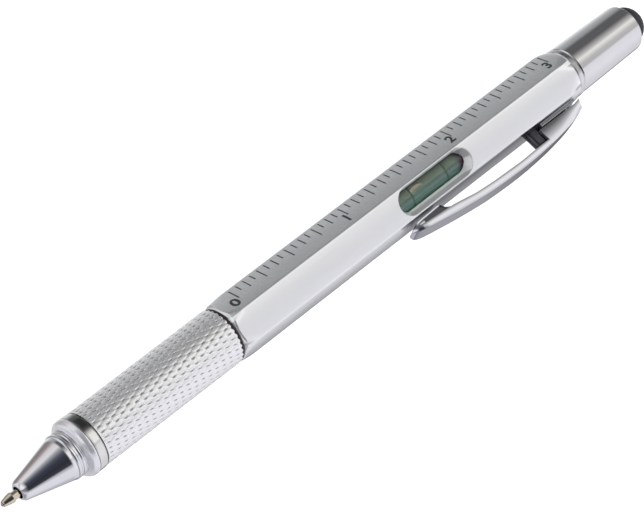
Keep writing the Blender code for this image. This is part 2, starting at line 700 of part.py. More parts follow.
def make_guide_sleeve(carrier, look):
    """Bush fixed in the barrel: its neck carries the grip, its grooves keep the plunger from turning."""
    front = BARREL_FRONT - SLEEVE_NECK
    neck = SLEEVE_RADIUS - SLEEVE_NECK_STEP
    outline = [
        (0.0, neck),
        (SLEEVE_NECK, neck),
        (SLEEVE_NECK, SLEEVE_RADIUS),
        (SLEEVE_REAR - front, SLEEVE_RADIUS),
        (SLEEVE_REAR - front, SLEEVE_BORE),
        (0.0, SLEEVE_BORE),
    ]
    mesh = turned_mesh("guide_sleeve", outline, CORE_SIDES)
    sleeve = place(mesh, "guide_sleeve", (front, 0.0, 0.0), carrier, look)
    reach = SLEEVE_BORE + KEY_HEIGHT
    width = KEY_WIDTH / 2 + RUN_GAP
    low = (REFILL_REAR, -width, -reach)
    high = (SLEEVE_REAR + OVERRUN, width, reach)
    mesh = box_mesh("sleeve_groove", low, high)
    combine(sleeve, make_cutter(mesh, "sleeve_groove", (0.0, 0.0, 0.0), carrier), "DIFFERENCE")


def make_core(carrier, look):
    """Threaded tube that turns with the grip and drives the plunger."""
    front = BARREL_FRONT - SLEEVE_NECK - SEAT_GAP - CORE_HEAD_LENGTH
    rear = REFILL_REAR + PLUNGER_FLOOR - SEAT_GAP
    head = GRIP_BORE - FIT_GAP
    outline = [
        (0.0, head),
        (CORE_HEAD_LENGTH, head),
        (CORE_HEAD_LENGTH, CORE_RADIUS),
        (rear - front, CORE_RADIUS),
        (rear - front, CORE_BORE),
        (0.0, CORE_BORE),
    ]
    place(turned_mesh("twist_core", outline, CORE_SIDES), "twist_core", (front, 0.0, 0.0), carrier, look)


def make_plunger(carrier, look):
    """Slider that holds the refill's rear end and runs in the sleeve's grooves."""
    front = REFILL_REAR - PLUNGER_GRIP
    socket = REFILL_RADIUS + FIT_GAP
    depth = PLUNGER_GRIP + SEAT_GAP
    shank = PLUNGER_GRIP + PLUNGER_FLOOR + RUN_GAP
    end = shank + PLUNGER_HEAD_LENGTH
    head = SLEEVE_BORE - RUN_GAP
    outline = [
        (depth, 0.0),
        (depth, socket),
        (0.0, socket),
        (0.0, PLUNGER_RADIUS),
        (shank, PLUNGER_RADIUS),
        (shank, head),
        (end, head),
        (end, 0.0),
    ]
    mesh = turned_mesh("cam_plunger", outline, CORE_SIDES)
    plunger = place(mesh, "cam_plunger", (front, 0.0, 0.0), carrier, look)
    reach = SLEEVE_BORE + KEY_HEIGHT - RUN_GAP
    low = (shank + RUN_GAP, -KEY_WIDTH / 2, -reach)
    high = (end - RUN_GAP, KEY_WIDTH / 2, reach)
    mesh = box_mesh("plunger_key", low, high)
    combine(plunger, make_cutter(mesh, "plunger_key", (front, 0.0, 0.0), carrier), "UNION")


def clip_profile():
    """Side outline of the clip, its pad, arm and head, from the clip's own front and the flat."""
    outline = [(share * CLIP_LENGTH, HALF_FLAT + rise * CLIP_HEIGHT) for share, rise in CLIP_OUTER_SHARES]
    base = HALF_FLAT + HEAD_CLEARANCE
    outline.append((CLIP_LENGTH + HEAD_REAR_SLANT, base))
    outline.append((CLIP_LENGTH - HEAD_LENGTH, base))
    outline += [(share * CLIP_LENGTH, HALF_FLAT + rise * CLIP_HEIGHT) for share, rise in CLIP_INNER_SHARES]
    return outline


def make_clip(carrier, look):
    """Clip with a hollow head: side outline kept inside the plan outline, then the channel cut."""
    start = CLIP_FRONT - PIN_STATION
    drop = -(HALF_FLAT + PIN_HEIGHT)
    mesh = plate_mesh("pocket_clip", clip_profile(), CLIP_WIDTH + OVERRUN)
    clip = place(mesh, "pocket_clip", (start, 0.0, drop), carrier, look)
    plan = [(share * CLIP_LENGTH, width * CLIP_WIDTH / 2) for share, width in CLIP_PLAN_SHARES]
    plan[-1] = (CLIP_LENGTH + OVERRUN, plan[-1][1])
    low = HALF_FLAT
    high = HALF_FLAT + CLIP_HEIGHT + OVERRUN
    loop = plan + [(along, -across) for along, across in reversed(plan)]
    loops = [[(along, across, up) for along, across in loop] for up in (low, high)]
    mesh = stacked_mesh("clip_plan", loops)
    combine(clip, make_cutter(mesh, "clip_plan", (start, 0.0, drop), carrier), "INTERSECT")
    roof = [point for point in CLIP_OUTER_SHARES if point[0] * CLIP_LENGTH > CLIP_LENGTH - HEAD_LENGTH]
    tops = [(share * CLIP_LENGTH, HALF_FLAT + rise * CLIP_HEIGHT - ROOF_THICKNESS) for share, rise in roof]
    tops[-1] = (CLIP_LENGTH - HEAD_REAR_WALL, tops[-1][1])
    front = CLIP_LENGTH - HEAD_LENGTH - OVERRUN
    under = HALF_FLAT + CLIP_INNER_SHARES[0][1] * CLIP_HEIGHT
    channel = [(front, HALF_FLAT), (front, under), (CLIP_INNER_SHARES[0][0] * CLIP_LENGTH, under)]
    channel += [point for point in tops if point[1] < under]
    channel.append((CLIP_LENGTH - HEAD_REAR_WALL, HALF_FLAT))
    mesh = plate_mesh("clip_channel", channel, CHANNEL_WIDTH)
    combine(clip, make_cutter(mesh, "clip_channel", (start, 0.0, drop), carrier), "DIFFERENCE")


def make_pin(carrier, look):
    """Cross pin of the clip, between the walls of its head."""
    half = CHANNEL_WIDTH / 2 - FIT_GAP
    outline = [(-half, 0.0), (-half, PIN_RADIUS), (half, PIN_RADIUS), (half, 0.0)]
    pin = place(turned_mesh("clip_pin", outline, SMALL_SIDES), "clip_pin", (0.0, 0.0, 0.0), carrier, look)
    pin.rotation_euler = (0.0, 0.0, math.pi / 2)


def make_seat(carrier, look):
    """Plate under the clip's head, with the lug that the pin turns in."""
    start = HEAD_FRONT + SEAT_FRONT_INSET
    low = (0.0, -SEAT_WIDTH / 2, HALF_FLAT + FIT_GAP)
    high = (SEAT_LENGTH, SEAT_WIDTH / 2, HALF_FLAT + SEAT_HEIGHT)
    seat = place(box_mesh("clip_seat", low, high), "clip_seat", (start, 0.0, 0.0), carrier, look)
    hole = PIN_RADIUS + RUN_GAP
    outer = hole + LUG_WALL
    half = CHANNEL_WIDTH / 2 - RUN_GAP
    station = PIN_STATION - start
    outline = []
    count = SMALL_SIDES
    for step in range(count // 2 + 1):
        angle = math.pi * step / (count // 2)
        along = station + outer * math.cos(angle)
        outline.append((along, HALF_FLAT + PIN_HEIGHT + outer * math.sin(angle)))
    middle = HALF_FLAT + (SEAT_HEIGHT + FIT_GAP) / 2
    outline.append((station - outer, middle))
    outline.append((station + outer, middle))
    mesh = plate_mesh("seat_lug", outline, 2 * half)
    combine(seat, make_cutter(mesh, "seat_lug", (start, 0.0, 0.0), carrier), "UNION")
    drill = [(-half - OVERRUN, 0.0), (-half - OVERRUN, hole), (half + OVERRUN, hole), (half + OVERRUN, 0.0)]
    mesh = turned_mesh("pin_hole", drill, SMALL_SIDES)
    tool = make_cutter(mesh, "pin_hole", (PIN_STATION, 0.0, HALF_FLAT + PIN_HEIGHT), carrier)
    tool.rotation_euler = (0.0, 0.0, math.pi / 2)
    combine(seat, tool, "DIFFERENCE")


def make_boss(carrier, look):
    """Round-ended block under the arm, in front of the clip's head."""
    centre = HEAD_FRONT + SEAT_FRONT_INSET - BOSS_GAP - BOSS_LENGTH / 2
    loops = [
        obround(BOSS_LENGTH, BOSS_WIDTH, HALF_FLAT + FIT_GAP),
        obround(BOSS_LENGTH, BOSS_WIDTH, HALF_FLAT + BOSS_HEIGHT),
    ]
    place(stacked_mesh("clip_boss", loops), "clip_boss", (centre, 0.0, 0.0), carrier, look)


def make_holder(carrier, looks):
    """Socket for the bit, pressed in the barrel's rear, with its ring and the stub for the cap."""
    length = HOLDER_REAR - HOLDER_FRONT
    outline = [
        (0.0, 0.0),
        (0.0, HOLDER_RADIUS - HOLDER_EDGE),
        (HOLDER_EDGE, HOLDER_RADIUS),
        (length - HOLDER_EDGE, HOLDER_RADIUS),
        (length, HOLDER_RADIUS - HOLDER_EDGE),
        (length, 0.0),
    ]
    mesh = turned_mesh("bit_holder", outline, VIAL_SIDES)
    holder = place(mesh, "bit_holder", (HOLDER_FRONT, 0.0, 0.0), carrier, looks["holder"])
    section = hexagon(BIT_WIDTH / 2 + BIT_GAP, 0.0)
    mesh = prism_mesh("bit_socket", section, SOCKET_FLOOR, length + OVERRUN)
    combine(holder, make_cutter(mesh, "bit_socket", (HOLDER_FRONT, 0.0, 0.0), carrier), "DIFFERENCE")
    inner = HOLDER_RADIUS + FIT_GAP
    outline = [
        (0.0, HOLDER_RING_RADIUS - HOLDER_RING_EDGE),
        (HOLDER_RING_EDGE, HOLDER_RING_RADIUS),
        (HOLDER_RING_WIDTH - HOLDER_RING_EDGE, HOLDER_RING_RADIUS),
        (HOLDER_RING_WIDTH, HOLDER_RING_RADIUS - HOLDER_RING_EDGE),
        (HOLDER_RING_WIDTH, inner),
        (0.0, inner),
    ]
    mesh = turned_mesh("holder_ring", outline, ROUND_SIDES)
    place(mesh, "holder_ring", (HOLDER_RING_FRONT, 0.0, 0.0), carrier, looks["ring"])


def make_bit(carrier, look):
    """Double-ended bit: cross point outwards, flat blade inwards."""
    shank = BIT_LENGTH - BIT_NECK_LENGTH
    mesh = prism_mesh("screwdriver_bit", hexagon(BIT_WIDTH / 2, 0.0), 0.0, BIT_LENGTH)
    bit = place(mesh, "screwdriver_bit", (BIT_FRONT, 0.0, 0.0), carrier, look)
    wide = BIT_WIDTH
    outline = [
        (-OVERRUN, 0.0),
        (-OVERRUN, BIT_NECK_RADIUS),
        (BLADE_LENGTH, BIT_NECK_RADIUS),
        (BLADE_LENGTH + BIT_SHOULDER, wide),
        (shank - BIT_SHOULDER, wide),
        (shank, BIT_NECK_RADIUS),
        (BIT_LENGTH - BIT_CONE_LENGTH, BIT_NECK_RADIUS),
        (BIT_LENGTH, BIT_POINT_RADIUS),
        (BIT_LENGTH + OVERRUN, BIT_POINT_RADIUS),
        (BIT_LENGTH + OVERRUN, 0.0),
    ]
    mesh = turned_mesh("bit_turning", outline, SMALL_SIDES)
    combine(bit, make_cutter(mesh, "bit_turning", (BIT_FRONT, 0.0, 0.0), carrier), "INTERSECT")
    for side in (1, -1):
        edges = sorted((side * BLADE_THICKNESS / 2, side * wide))
        low = (-OVERRUN, -wide, edges[0])
        high = (BLADE_LENGTH, wide, edges[1])
        name = "blade_side_" + ("up" if side > 0 else "down")
        tool = make_cutter(box_mesh(name, low, high), name, (BIT_FRONT, 0.0, 0.0), carrier)
        combine(bit, tool, "DIFFERENCE")
    for quarter in range(4):
        low = (BIT_LENGTH - BIT_CONE_LENGTH, CROSS_WIDTH / 2, CROSS_WIDTH / 2)
        high = (BIT_LENGTH + OVERRUN, wide, wide)
        name = "cross_flute_" + str(quarter)
        tool = make_cutter(box_mesh(name, low, high), name, (BIT_FRONT, 0.0, 0.0), carrier)
        tool.rotation_euler = (quarter * math.pi / 2, 0.0, 0.0)
        combine(bit, tool, "DIFFERENCE")


def make_cap(carrier, looks):
    """Rear cap with its threaded lining, the stem and the soft tip."""
    hole = DOME_RADIUS + FIT_GAP
    outline = [
        (0.0, CAP_FRONT_RADIUS - CAP_FRONT_EDGE),
        (CAP_FRONT_EDGE, CAP_FRONT_RADIUS),
        (CAP_LENGTH - CAP_REAR_EDGE_LENGTH, CAP_REAR_RADIUS),
        (CAP_LENGTH, CAP_REAR_RADIUS - CAP_REAR_EDGE),
        (CAP_LENGTH, hole),
        (CAP_LENGTH - CAP_END_WALL, hole),
        (CAP_LENGTH - CAP_END_WALL, CAP_BORE),
        (0.0, CAP_BORE),
    ]
    mesh = turned_mesh("cap_shell", outline, ROUND_SIDES)
    place(mesh, "cap_shell", (CAP_FRONT, 0.0, 0.0), carrier, looks["cap"])
    inner = HOLDER_RADIUS + RUN_GAP
    outer = CAP_BORE - FIT_GAP
    outline = [(0.0, outer), (LINER_LENGTH, outer), (LINER_LENGTH, inner), (0.0, inner)]
    mesh = turned_mesh("cap_liner", outline, CORE_SIDES)
    place(mesh, "cap_liner", (CAP_FRONT + LINER_INSET, 0.0, 0.0), carrier, looks["liner"])
    skirt = -DOME_SKIRT
    inside = DOME_RADIUS - DOME_WALL
    outline = []
    for step in range(DOME_STEPS + 1):
        angle = math.pi / 2 * step / DOME_STEPS
        across = DOME_RADIUS * math.cos(angle) if step < DOME_STEPS else 0.0
        outline.append((DOME_RADIUS * math.sin(angle), across))
    outline = [(skirt, inside), (skirt, DOME_RADIUS)] + outline
    hollow = []
    for step in range(DOME_STEPS + 1):
        angle = math.pi / 2 * step / DOME_STEPS
        across = inside * math.cos(angle) if step < DOME_STEPS else 0.0
        hollow.append((inside * math.sin(angle), across))
    outline = list(reversed(hollow)) + outline
    mesh = turned_mesh("stylus_tip", outline, VIAL_SIDES)
    place(mesh, "stylus_tip", (CAP_REAR, 0.0, 0.0), carrier, looks["dome"])
    stem = inside - FIT_GAP
    flange = CAP_BORE - FIT_GAP
    back = -CAP_END_WALL - SEAT_GAP
    outline = [(back - STEM_FLANGE, 0.0), (back - STEM_FLANGE, flange), (back, flange), (back, stem)]
    for step in range(DOME_STEPS // 2 + 1):
        angle = math.pi / 2 * step / (DOME_STEPS // 2)
        across = stem * math.cos(angle) if step < DOME_STEPS // 2 else 0.0
        outline.append(((stem - STEM_HEAD_GAP) * math.sin(angle), across))
    mesh = turned_mesh("stylus_core", outline, CORE_SIDES)
    place(mesh, "stylus_core", (CAP_REAR, 0.0, 0.0), carrier, looks["stem"])


def make_looks():
    """One material for each kind of surface."""
    return {
        "barrel": surface("barrel_aluminium", (0.62, 0.64, 0.67), 0.32, 1.0),
        "grip": surface("knurled_aluminium", (0.66, 0.66, 0.67), 0.36, 1.0),
        "band": surface("band_nickel", (0.72, 0.71, 0.69), 0.16, 1.0),
        "nose": surface("nose_chrome", (0.78, 0.78, 0.80), 0.12, 1.0),
        "ring": surface("ring_chrome", (0.75, 0.75, 0.76), 0.15, 1.0),
        "friction": surface("friction_black", (0.03, 0.02, 0.02), 0.50, 0.0),
        "point": surface("point_nickel_silver", (0.62, 0.55, 0.42), 0.22, 1.0),
        "ball": surface("ball_carbide", (0.45, 0.45, 0.47), 0.20, 1.0),
        "tube": surface("tube_brass", (0.66, 0.50, 0.24), 0.30, 1.0),
        "ink": surface("ink_blue_black", (0.02, 0.02, 0.06), 0.40, 0.0),
        "spring": surface("spring_steel", (0.55, 0.55, 0.56), 0.30, 1.0),
        "sleeve": surface("sleeve_white", (0.80, 0.80, 0.78), 0.45, 0.0),
        "core": surface("core_brass", (0.70, 0.53, 0.26), 0.30, 1.0),
        "plunger": surface("plunger_black", (0.05, 0.05, 0.05), 0.45, 0.0),
        "vial": surface("vial_clear", (0.90, 0.95, 0.92), 0.05, 0.0, 0.35),
        "fluid": surface("fluid_green", (0.20, 0.45, 0.30), 0.10, 0.0),
        "air": surface("air_pale", (0.85, 0.90, 0.80), 0.05, 0.0, 0.35),
        "line": surface("line_black", (0.03, 0.03, 0.03), 0.50, 0.0),
        "stopper": surface("stopper_dark", (0.10, 0.06, 0.10), 0.50, 0.0),
        "clip": surface("clip_chrome", (0.74, 0.74, 0.77), 0.20, 1.0),
        "pin": surface("pin_steel", (0.50, 0.50, 0.52), 0.30, 1.0),
        "seat": surface("seat_grey", (0.45, 0.47, 0.48), 0.35, 1.0),
        "boss": surface("boss_dark", (0.08, 0.08, 0.09), 0.40, 0.0),
        "holder": surface("holder_steel", (0.52, 0.52, 0.54), 0.32, 1.0),
        "bit": surface("bit_steel", (0.42, 0.42, 0.44), 0.28, 1.0),
        "cap": surface("cap_chrome", (0.78, 0.77, 0.77), 0.14, 1.0),
        "liner": surface("liner_black", (0.06, 0.06, 0.06), 0.50, 0.0),
        "stem": surface("stem_grey", (0.30, 0.30, 0.31), 0.50, 0.0),
        "dome": surface("dome_rubber", (0.02, 0.02, 0.02), 0.60, 0.0),
    }


def build():
    """Build the pen: one empty for each body, each on its joint's axis, and every piece under them."""
    looks = make_looks()
    barrel = empty("barrel_body", (0.0, 0.0, HALF_FLAT))
    grip = empty("grip_body", (0.0, 0.0, 0.0), parent=barrel)
    refill = empty("refill_body", (0.0, 0.0, 0.0), parent=barrel)
    ball = empty("ball_body", (TIP_FRONT + BALL_RADIUS, 0.0, 0.0), parent=refill)
    bubble_rest = WINDOW_CENTRE - BUBBLE_TRAVEL / 2 + BUBBLE_REST
    bubble = empty("bubble_body", (bubble_rest, 0.0, VIAL_BORE - BUBBLE_DEPTH), parent=barrel)
    clip_side = empty("clip_side", (0.0, 0.0, 0.0), CLIP_TURN, barrel)
    clip = empty("clip_body", (PIN_STATION, 0.0, HALF_FLAT + PIN_HEIGHT), 0.0, clip_side)
    cap = empty("cap_body", (0.0, 0.0, 0.0), parent=barrel)
    bit = empty("bit_body", (0.0, 0.0, 0.0), parent=barrel)
    make_barrel(barrel, looks["barrel"])
    make_vial(barrel, bubble, looks)
    make_friction_ring(barrel, looks["friction"])
    make_guide_sleeve(barrel, looks["sleeve"])
    make_grip(grip, looks["grip"])
    make_band(grip, looks["band"])
    make_nose(grip, looks["nose"])
    make_core(grip, looks["core"])
    make_spring(grip, looks["spring"])
    make_point(refill, ball, looks)
    make_refill(refill, looks)
    make_plunger(refill, looks["plunger"])
    make_seat(clip_side, looks["seat"])
    make_boss(clip_side, looks["boss"])
    make_clip(clip, looks["clip"])
    make_pin(clip, looks["pin"])
    make_holder(barrel, looks)
    make_bit(bit, looks["bit"])
    make_cap(cap, looks)


clear_scene()
PARTS = new_collection("multi_tool_pen", False)
CUTTERS = new_collection("cutters", True)
build()
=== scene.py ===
"""Looks of the hexagonal multi tool pen: detailed metal, glass, print and rubber over the CAD frame."""

import math

import bmesh
import bpy
from mathutils import Matrix, Vector


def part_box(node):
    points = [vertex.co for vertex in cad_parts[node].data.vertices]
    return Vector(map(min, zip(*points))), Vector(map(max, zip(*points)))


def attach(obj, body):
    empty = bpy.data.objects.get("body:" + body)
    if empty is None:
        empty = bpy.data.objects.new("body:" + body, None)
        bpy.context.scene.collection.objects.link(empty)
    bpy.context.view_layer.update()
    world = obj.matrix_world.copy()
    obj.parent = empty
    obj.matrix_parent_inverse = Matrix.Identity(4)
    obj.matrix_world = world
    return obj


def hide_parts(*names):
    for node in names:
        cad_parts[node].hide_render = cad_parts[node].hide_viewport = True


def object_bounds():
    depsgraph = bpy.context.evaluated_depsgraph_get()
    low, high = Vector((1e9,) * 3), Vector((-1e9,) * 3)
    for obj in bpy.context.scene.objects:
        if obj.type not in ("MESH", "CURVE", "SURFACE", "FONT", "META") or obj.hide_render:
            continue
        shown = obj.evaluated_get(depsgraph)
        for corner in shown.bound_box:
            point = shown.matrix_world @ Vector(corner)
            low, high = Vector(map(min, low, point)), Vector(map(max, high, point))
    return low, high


bl_info = {
    "name": "Multi tool pen looks",
    "version": (1, 0, 0),
    "blender": (4, 5, 0),
    "location": "View3D > Sidebar > Pen",
    "description": "Builds the visible pieces of the multi tool pen around its CAD frame",
    "category": "Object",
}

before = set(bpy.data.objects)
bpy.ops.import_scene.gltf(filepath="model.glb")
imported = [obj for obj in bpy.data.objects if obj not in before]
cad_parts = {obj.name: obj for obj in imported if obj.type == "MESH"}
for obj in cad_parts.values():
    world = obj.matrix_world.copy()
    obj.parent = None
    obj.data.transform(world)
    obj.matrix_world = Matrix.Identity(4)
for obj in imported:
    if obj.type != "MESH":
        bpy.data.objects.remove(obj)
CAD_BOX = [list(corner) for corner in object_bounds()]
MM = 0.001
FULL = 2 * math.pi
HEX_HALF = math.pi / 6
TALL = math.sqrt(3) / 2


def span(node):
    """Lowest and highest X of a CAD node, in millimetres."""
    low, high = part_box(node)
    return low.x / MM, high.x / MM


def reach(node):
    """Largest radius of a round CAD node, in millimetres."""
    low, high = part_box(node)
    return (high.y - low.y) / 2 / MM


AXIS_Z = (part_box("cap_shell")[0].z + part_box("cap_shell")[1].z) / 2 / MM
HALF_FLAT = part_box("hex_barrel")[1].z / MM - AXIS_Z
BARREL_START, BARREL_END = span("hex_barrel")

# Places on the pen: its axis, and the outward directions of the clip's flat and the ruler's flat.
AXIS = Vector((0.0, 0.0, AXIS_Z * MM))
ON_AXIS = Matrix.Translation(AXIS)
ON_CLIP_FLAT = ON_AXIS @ Matrix.Rotation(math.radians(60), 4, "X")
CLIP_OUT = Vector((0.0, -TALL, 0.5))
RULER_OUT = Vector((0.0, TALL, 0.5))


# Settings


class PenSettings(bpy.types.PropertyGroup):
    """Sizes and colours of the pen that a user may change."""

    corner_radius: bpy.props.FloatProperty(
        name="Corner radius", description="Rounding of the barrel's long corners",
        default=0.36 * MM, min=0.1 * MM, unit="LENGTH", precision=5)
    front_drop: bpy.props.FloatProperty(
        name="Front turning", description="How far the barrel's corners are turned down in front",
        default=0.34 * MM, unit="LENGTH", precision=5)
    rear_drop: bpy.props.FloatProperty(
        name="Rear turning", description="How far the barrel's corners are turned down behind",
        default=0.70 * MM, unit="LENGTH", precision=5)
    barrel_colour: bpy.props.FloatVectorProperty(
        name="Barrel colour", description="Satin aluminium of the barrel", subtype="COLOR",
        default=(0.92, 0.925, 0.935))
    chrome_colour: bpy.props.FloatVectorProperty(
        name="Chrome colour", description="Polished plating of the nose", subtype="COLOR",
        default=(0.86, 0.86, 0.885))
    print_colour: bpy.props.FloatVectorProperty(
        name="Print colour", description="Ruler's printed lines and figures", subtype="COLOR",
        default=(0.035, 0.04, 0.045))
    fluid_colour: bpy.props.FloatVectorProperty(
        name="Level liquid", description="Green of the level's liquid at its near edge", subtype="COLOR",
        default=(0.045, 0.095, 0.075))


class KnurlSettings(bpy.types.PropertyGroup):
    """Pattern of the knurled grip."""

    columns: bpy.props.IntProperty(
        name="Diamonds round", description="Diamonds round the grip", default=32, min=8)
    pitch: bpy.props.FloatProperty(
        name="Pitch", description="Length of one diamond along the pen",
        default=3.02 * MM, min=0.5 * MM, unit="LENGTH", precision=5)
    first: bpy.props.FloatProperty(
        name="First crossing", description="Place of one groove crossing along the pen",
        default=-22.69 * MM, unit="LENGTH", precision=5)
    turn: bpy.props.FloatProperty(
        name="Turn", description="Turn of that crossing about the pen",
        default=math.radians(-18.6), subtype="ANGLE")
    depth: bpy.props.FloatProperty(
        name="Depth", description="Depth of the grooves", default=0.04 * MM, unit="LENGTH", precision=5)
    pit: bpy.props.FloatProperty(
        name="Pit", description="Extra depth where grooves cross",
        default=0.08 * MM, unit="LENGTH", precision=5)
    steps: bpy.props.IntProperty(
        name="Steps", description="Mesh steps over one diamond's width", default=10, min=4)
    rows: bpy.props.IntProperty(
        name="Rows", description="Mesh rows along the grip", default=256, min=40)


class RulerSettings(bpy.types.PropertyGroup):
    """Ruler on the flat beside the window."""

    long_line: bpy.props.FloatProperty(
        name="Long line", description="Line at each quarter inch",
        default=2.55 * MM, unit="LENGTH", precision=5)
    middle_line: bpy.props.FloatProperty(
        name="Middle line", description="Line at each eighth inch",
        default=2.07 * MM, unit="LENGTH", precision=5)
    short_line: bpy.props.FloatProperty(
        name="Short line", description="Line at each sixteenth inch",
        default=1.48 * MM, unit="LENGTH", precision=5)
    line_width: bpy.props.FloatProperty(
        name="Line width", description="Width of a line", default=0.23 * MM, unit="LENGTH", precision=5)
    figure_height: bpy.props.FloatProperty(
        name="Figure height", description="Height of the figures",
        default=2.0 * MM, unit="LENGTH", precision=5)


# Mesh helpers: outlines and tables are in millimetres


def fillet(points, radius, closed, steps=3):
    """Round the corners of an outline of (x, r) points."""
    shortest, flattest, share_of_edge = 1e-4, 0.2, 0.42
    count = len(points)
    made = []
    for index in range(count):
        here = Vector(points[index])
        one = Vector(points[index - 1]) - here
        two = Vector(points[(index + 1) % count]) - here
        bend = cut = 0.0
        if closed or 0 < index < count - 1:
            bend = math.pi - one.angle(two)
            cut = min(radius * math.tan(bend / 2), share_of_edge * one.length, share_of_edge * two.length)
        if bend < flattest or cut < shortest:
            made.append(here)
            continue
        start, end = here + one.normalized() * cut, here + two.normalized() * cut
        for step in range(steps + 1):
            share = step / steps
            left = 1 - share
            made.append((start * left + here * share) * left + (here * left + end * share) * share)
    return made


def smooth_line(points, parts=4):
    """Fine curve through (x, z) points, by Catmull-Rom."""
    ends = [points[0]] + list(points) + [points[-1]]
    made = []
    for index in range(1, len(ends) - 2):
        p0, p1, p2, p3 = (Vector(ends[index + k]) for k in (-1, 0, 1, 2))
        for part in range(parts):
            t = part / parts
            made.append(0.5 * (2 * p1 + (p2 - p0) * t + (2 * p0 - 5 * p1 + 4 * p2 - p3) * t * t
                               + (3 * p1 - p0 - 3 * p2 + p3) * t * t * t))
    made.append(Vector(points[-1]))
    return made


def line_value(table, place):
    """Straight-line value of a table of (place, value)."""
    for (x1, y1), (x2, y2) in zip(table, table[1:]):
        if place <= x2:
            return y1 + (y2 - y1) * (max(place, x1) - x1) / (x2 - x1)
    return table[-1][1]


def curve_value(table, place):
    """Value of a fine curve through a table of (place, value)."""
    return line_value(smooth_line(table, 6), place)


def eased_min(one, two, soft):
    """Smaller of two values, rounded over where they are close."""
    near = max(soft - abs(one - two), 0.0) / soft
    return min(one, two) - near * near * soft / 4


def limited(value):
    """A value kept between zero and one."""
    return min(1.0, max(0.0, value))


def move(shape, matrix):
    """Move a whole bmesh by a matrix."""
    bmesh.ops.transform(shape, matrix=matrix, verts=shape.verts[:])


def push(shape, faces, way):
    """Extrude faces by a vector."""
    pushed = bmesh.ops.extrude_face_region(shape, geom=faces)
    moved = [item for item in pushed["geom"] if isinstance(item, bmesh.types.BMVert)]
    bmesh.ops.translate(shape, vec=way, verts=moved)


def turned(outline, steps=96, closed=True):
    """Spin an outline of (x, radius) about the X axis."""
    shape = bmesh.new()
    points = [shape.verts.new((x * MM, 0.0, r * MM)) for x, r in outline]
    edges = [shape.edges.new(pair) for pair in zip(points, points[1:])]
    if closed:
        edges.append(shape.edges.new((points[-1], points[0])))
    bmesh.ops.spin(shape, geom=points + edges, cent=(0, 0, 0), axis=(1, 0, 0), dvec=(0, 0, 0),
                   angle=FULL, steps=steps, use_merge=True, use_duplicate=False)
    bmesh.ops.remove_doubles(shape, verts=shape.verts[:], dist=1e-7)
    bmesh.ops.recalc_face_normals(shape, faces=shape.faces[:])
    return shape


def loft_solid(sections):
    """Closed solid: a first face is pushed on from section to section of (x, y, z) points."""
    shape = bmesh.new()
    row = [shape.verts.new(Vector(point) * MM) for point in sections[0]]
    face = shape.faces.new(row)
    for section in sections[1:]:
        pushed = bmesh.ops.extrude_face_region(shape, geom=[face])
        if section is not sections[1]:
            bmesh.ops.delete(shape, geom=[face], context="FACES_ONLY")
        face = next(item for item in pushed["geom"] if isinstance(item, bmesh.types.BMFace))
        fresh = list(face.verts)
        first = min(range(len(fresh)), key=lambda k: (fresh[k].co - row[0].co).length_squared)
        fresh = fresh[first:] + fresh[:first]
        if (fresh[1].co - row[1].co).length > (fresh[-1].co - row[1].co).length:
            fresh = fresh[:1] + fresh[:0:-1]
        for vertex, point in zip(fresh, section):
            vertex.co = Vector(point) * MM
        row = fresh
    bmesh.ops.recalc_face_normals(shape, faces=shape.faces[:])
    return shape


def prism(outline, half):
    """Solid of an (x, z) outline pulled sideways by a half width on each side."""
    shape = bmesh.new()
    face = shape.faces.new([shape.verts.new((x * MM, -half * MM, z * MM)) for x, z in outline])
    push(shape, [face], (0, 2 * half * MM, 0))
    bmesh.ops.recalc_face_normals(shape, faces=shape.faces[:])
    return shape


def slot_loop(centre, length, width, height, steps):
    """Points of a round-ended slot at one height."""
    loop = []
    half = length / 2 - width / 2
    for end in (1, -1):
        for step in range(steps + 1):
            angle = math.pi * step / steps - math.pi / 2
            x = end * (half + width / 2 * math.cos(angle))
            loop.append((centre + x, end * width / 2 * math.sin(angle), height))
    return loop


def add_object(shape, name, angle=32.0):
    """Turn a bmesh into an object with smooth shading below an angle in degrees."""
    mesh = bpy.data.meshes.new(name)
    shape.to_mesh(mesh)
    shape.free()
    piece = bpy.data.objects.new(name, mesh)
    bpy.context.scene.collection.objects.link(piece)
    shade(mesh, angle)
    return piece


def shade(mesh, angle):
    """Smooth shading with sharp edges above an angle in degrees."""
    mesh.shade_smooth()
    mesh.set_sharp_from_angle(angle=math.radians(angle))


def modify(piece, kind, **settings):
    """Apply one modifier to a piece."""
    step = piece.modifiers.new("step", kind)
    for name, value in settings.items():
        setattr(step, name, value)
    graph = bpy.context.evaluated_depsgraph_get()
    made = bpy.data.meshes.new_from_object(piece.evaluated_get(graph))
    old = piece.data
    piece.modifiers.clear()
    piece.data = made
    made.name = piece.name
    bpy.data.meshes.remove(old)


def cut(piece, tool, operation="DIFFERENCE"):
    """Apply one exact Boolean and remove its tool."""
    modify(piece, "BOOLEAN", operation=operation, solver="EXACT", object=tool)
    mesh = tool.data
    bpy.data.objects.remove(tool)
    bpy.data.meshes.remove(mesh)


def soften(piece, width, segments, angle):
    """Round the piece's edges above an angle in degrees by a width in millimetres."""
    modify(piece, "BEVEL", width=width * MM, segments=segments, limit_method="ANGLE",
           angle_limit=math.radians(angle), use_clamp_overlap=True, harden_normals=False)
    weigh(piece)


def weigh(piece):
    """Let the broad faces set the shading."""
    modify(piece, "WEIGHTED_NORMAL", keep_sharp=True)


def finish(piece, look, body, slot, *nodes):
    """Give a piece its finish, its body and the CAD nodes that it stands for; slot is not used."""
    piece.data.materials.clear()
    piece.data.materials.append(LOOKS[look])
    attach(piece, body)
    if nodes:
        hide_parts(*nodes)
    return piece


def second_finish(piece, look, chosen):
    """Give the faces that a test picks a second finish."""
    piece.data.materials.append(LOOKS[look])
    for face in piece.data.polygons:
        if chosen(face):
            face.material_index = 1


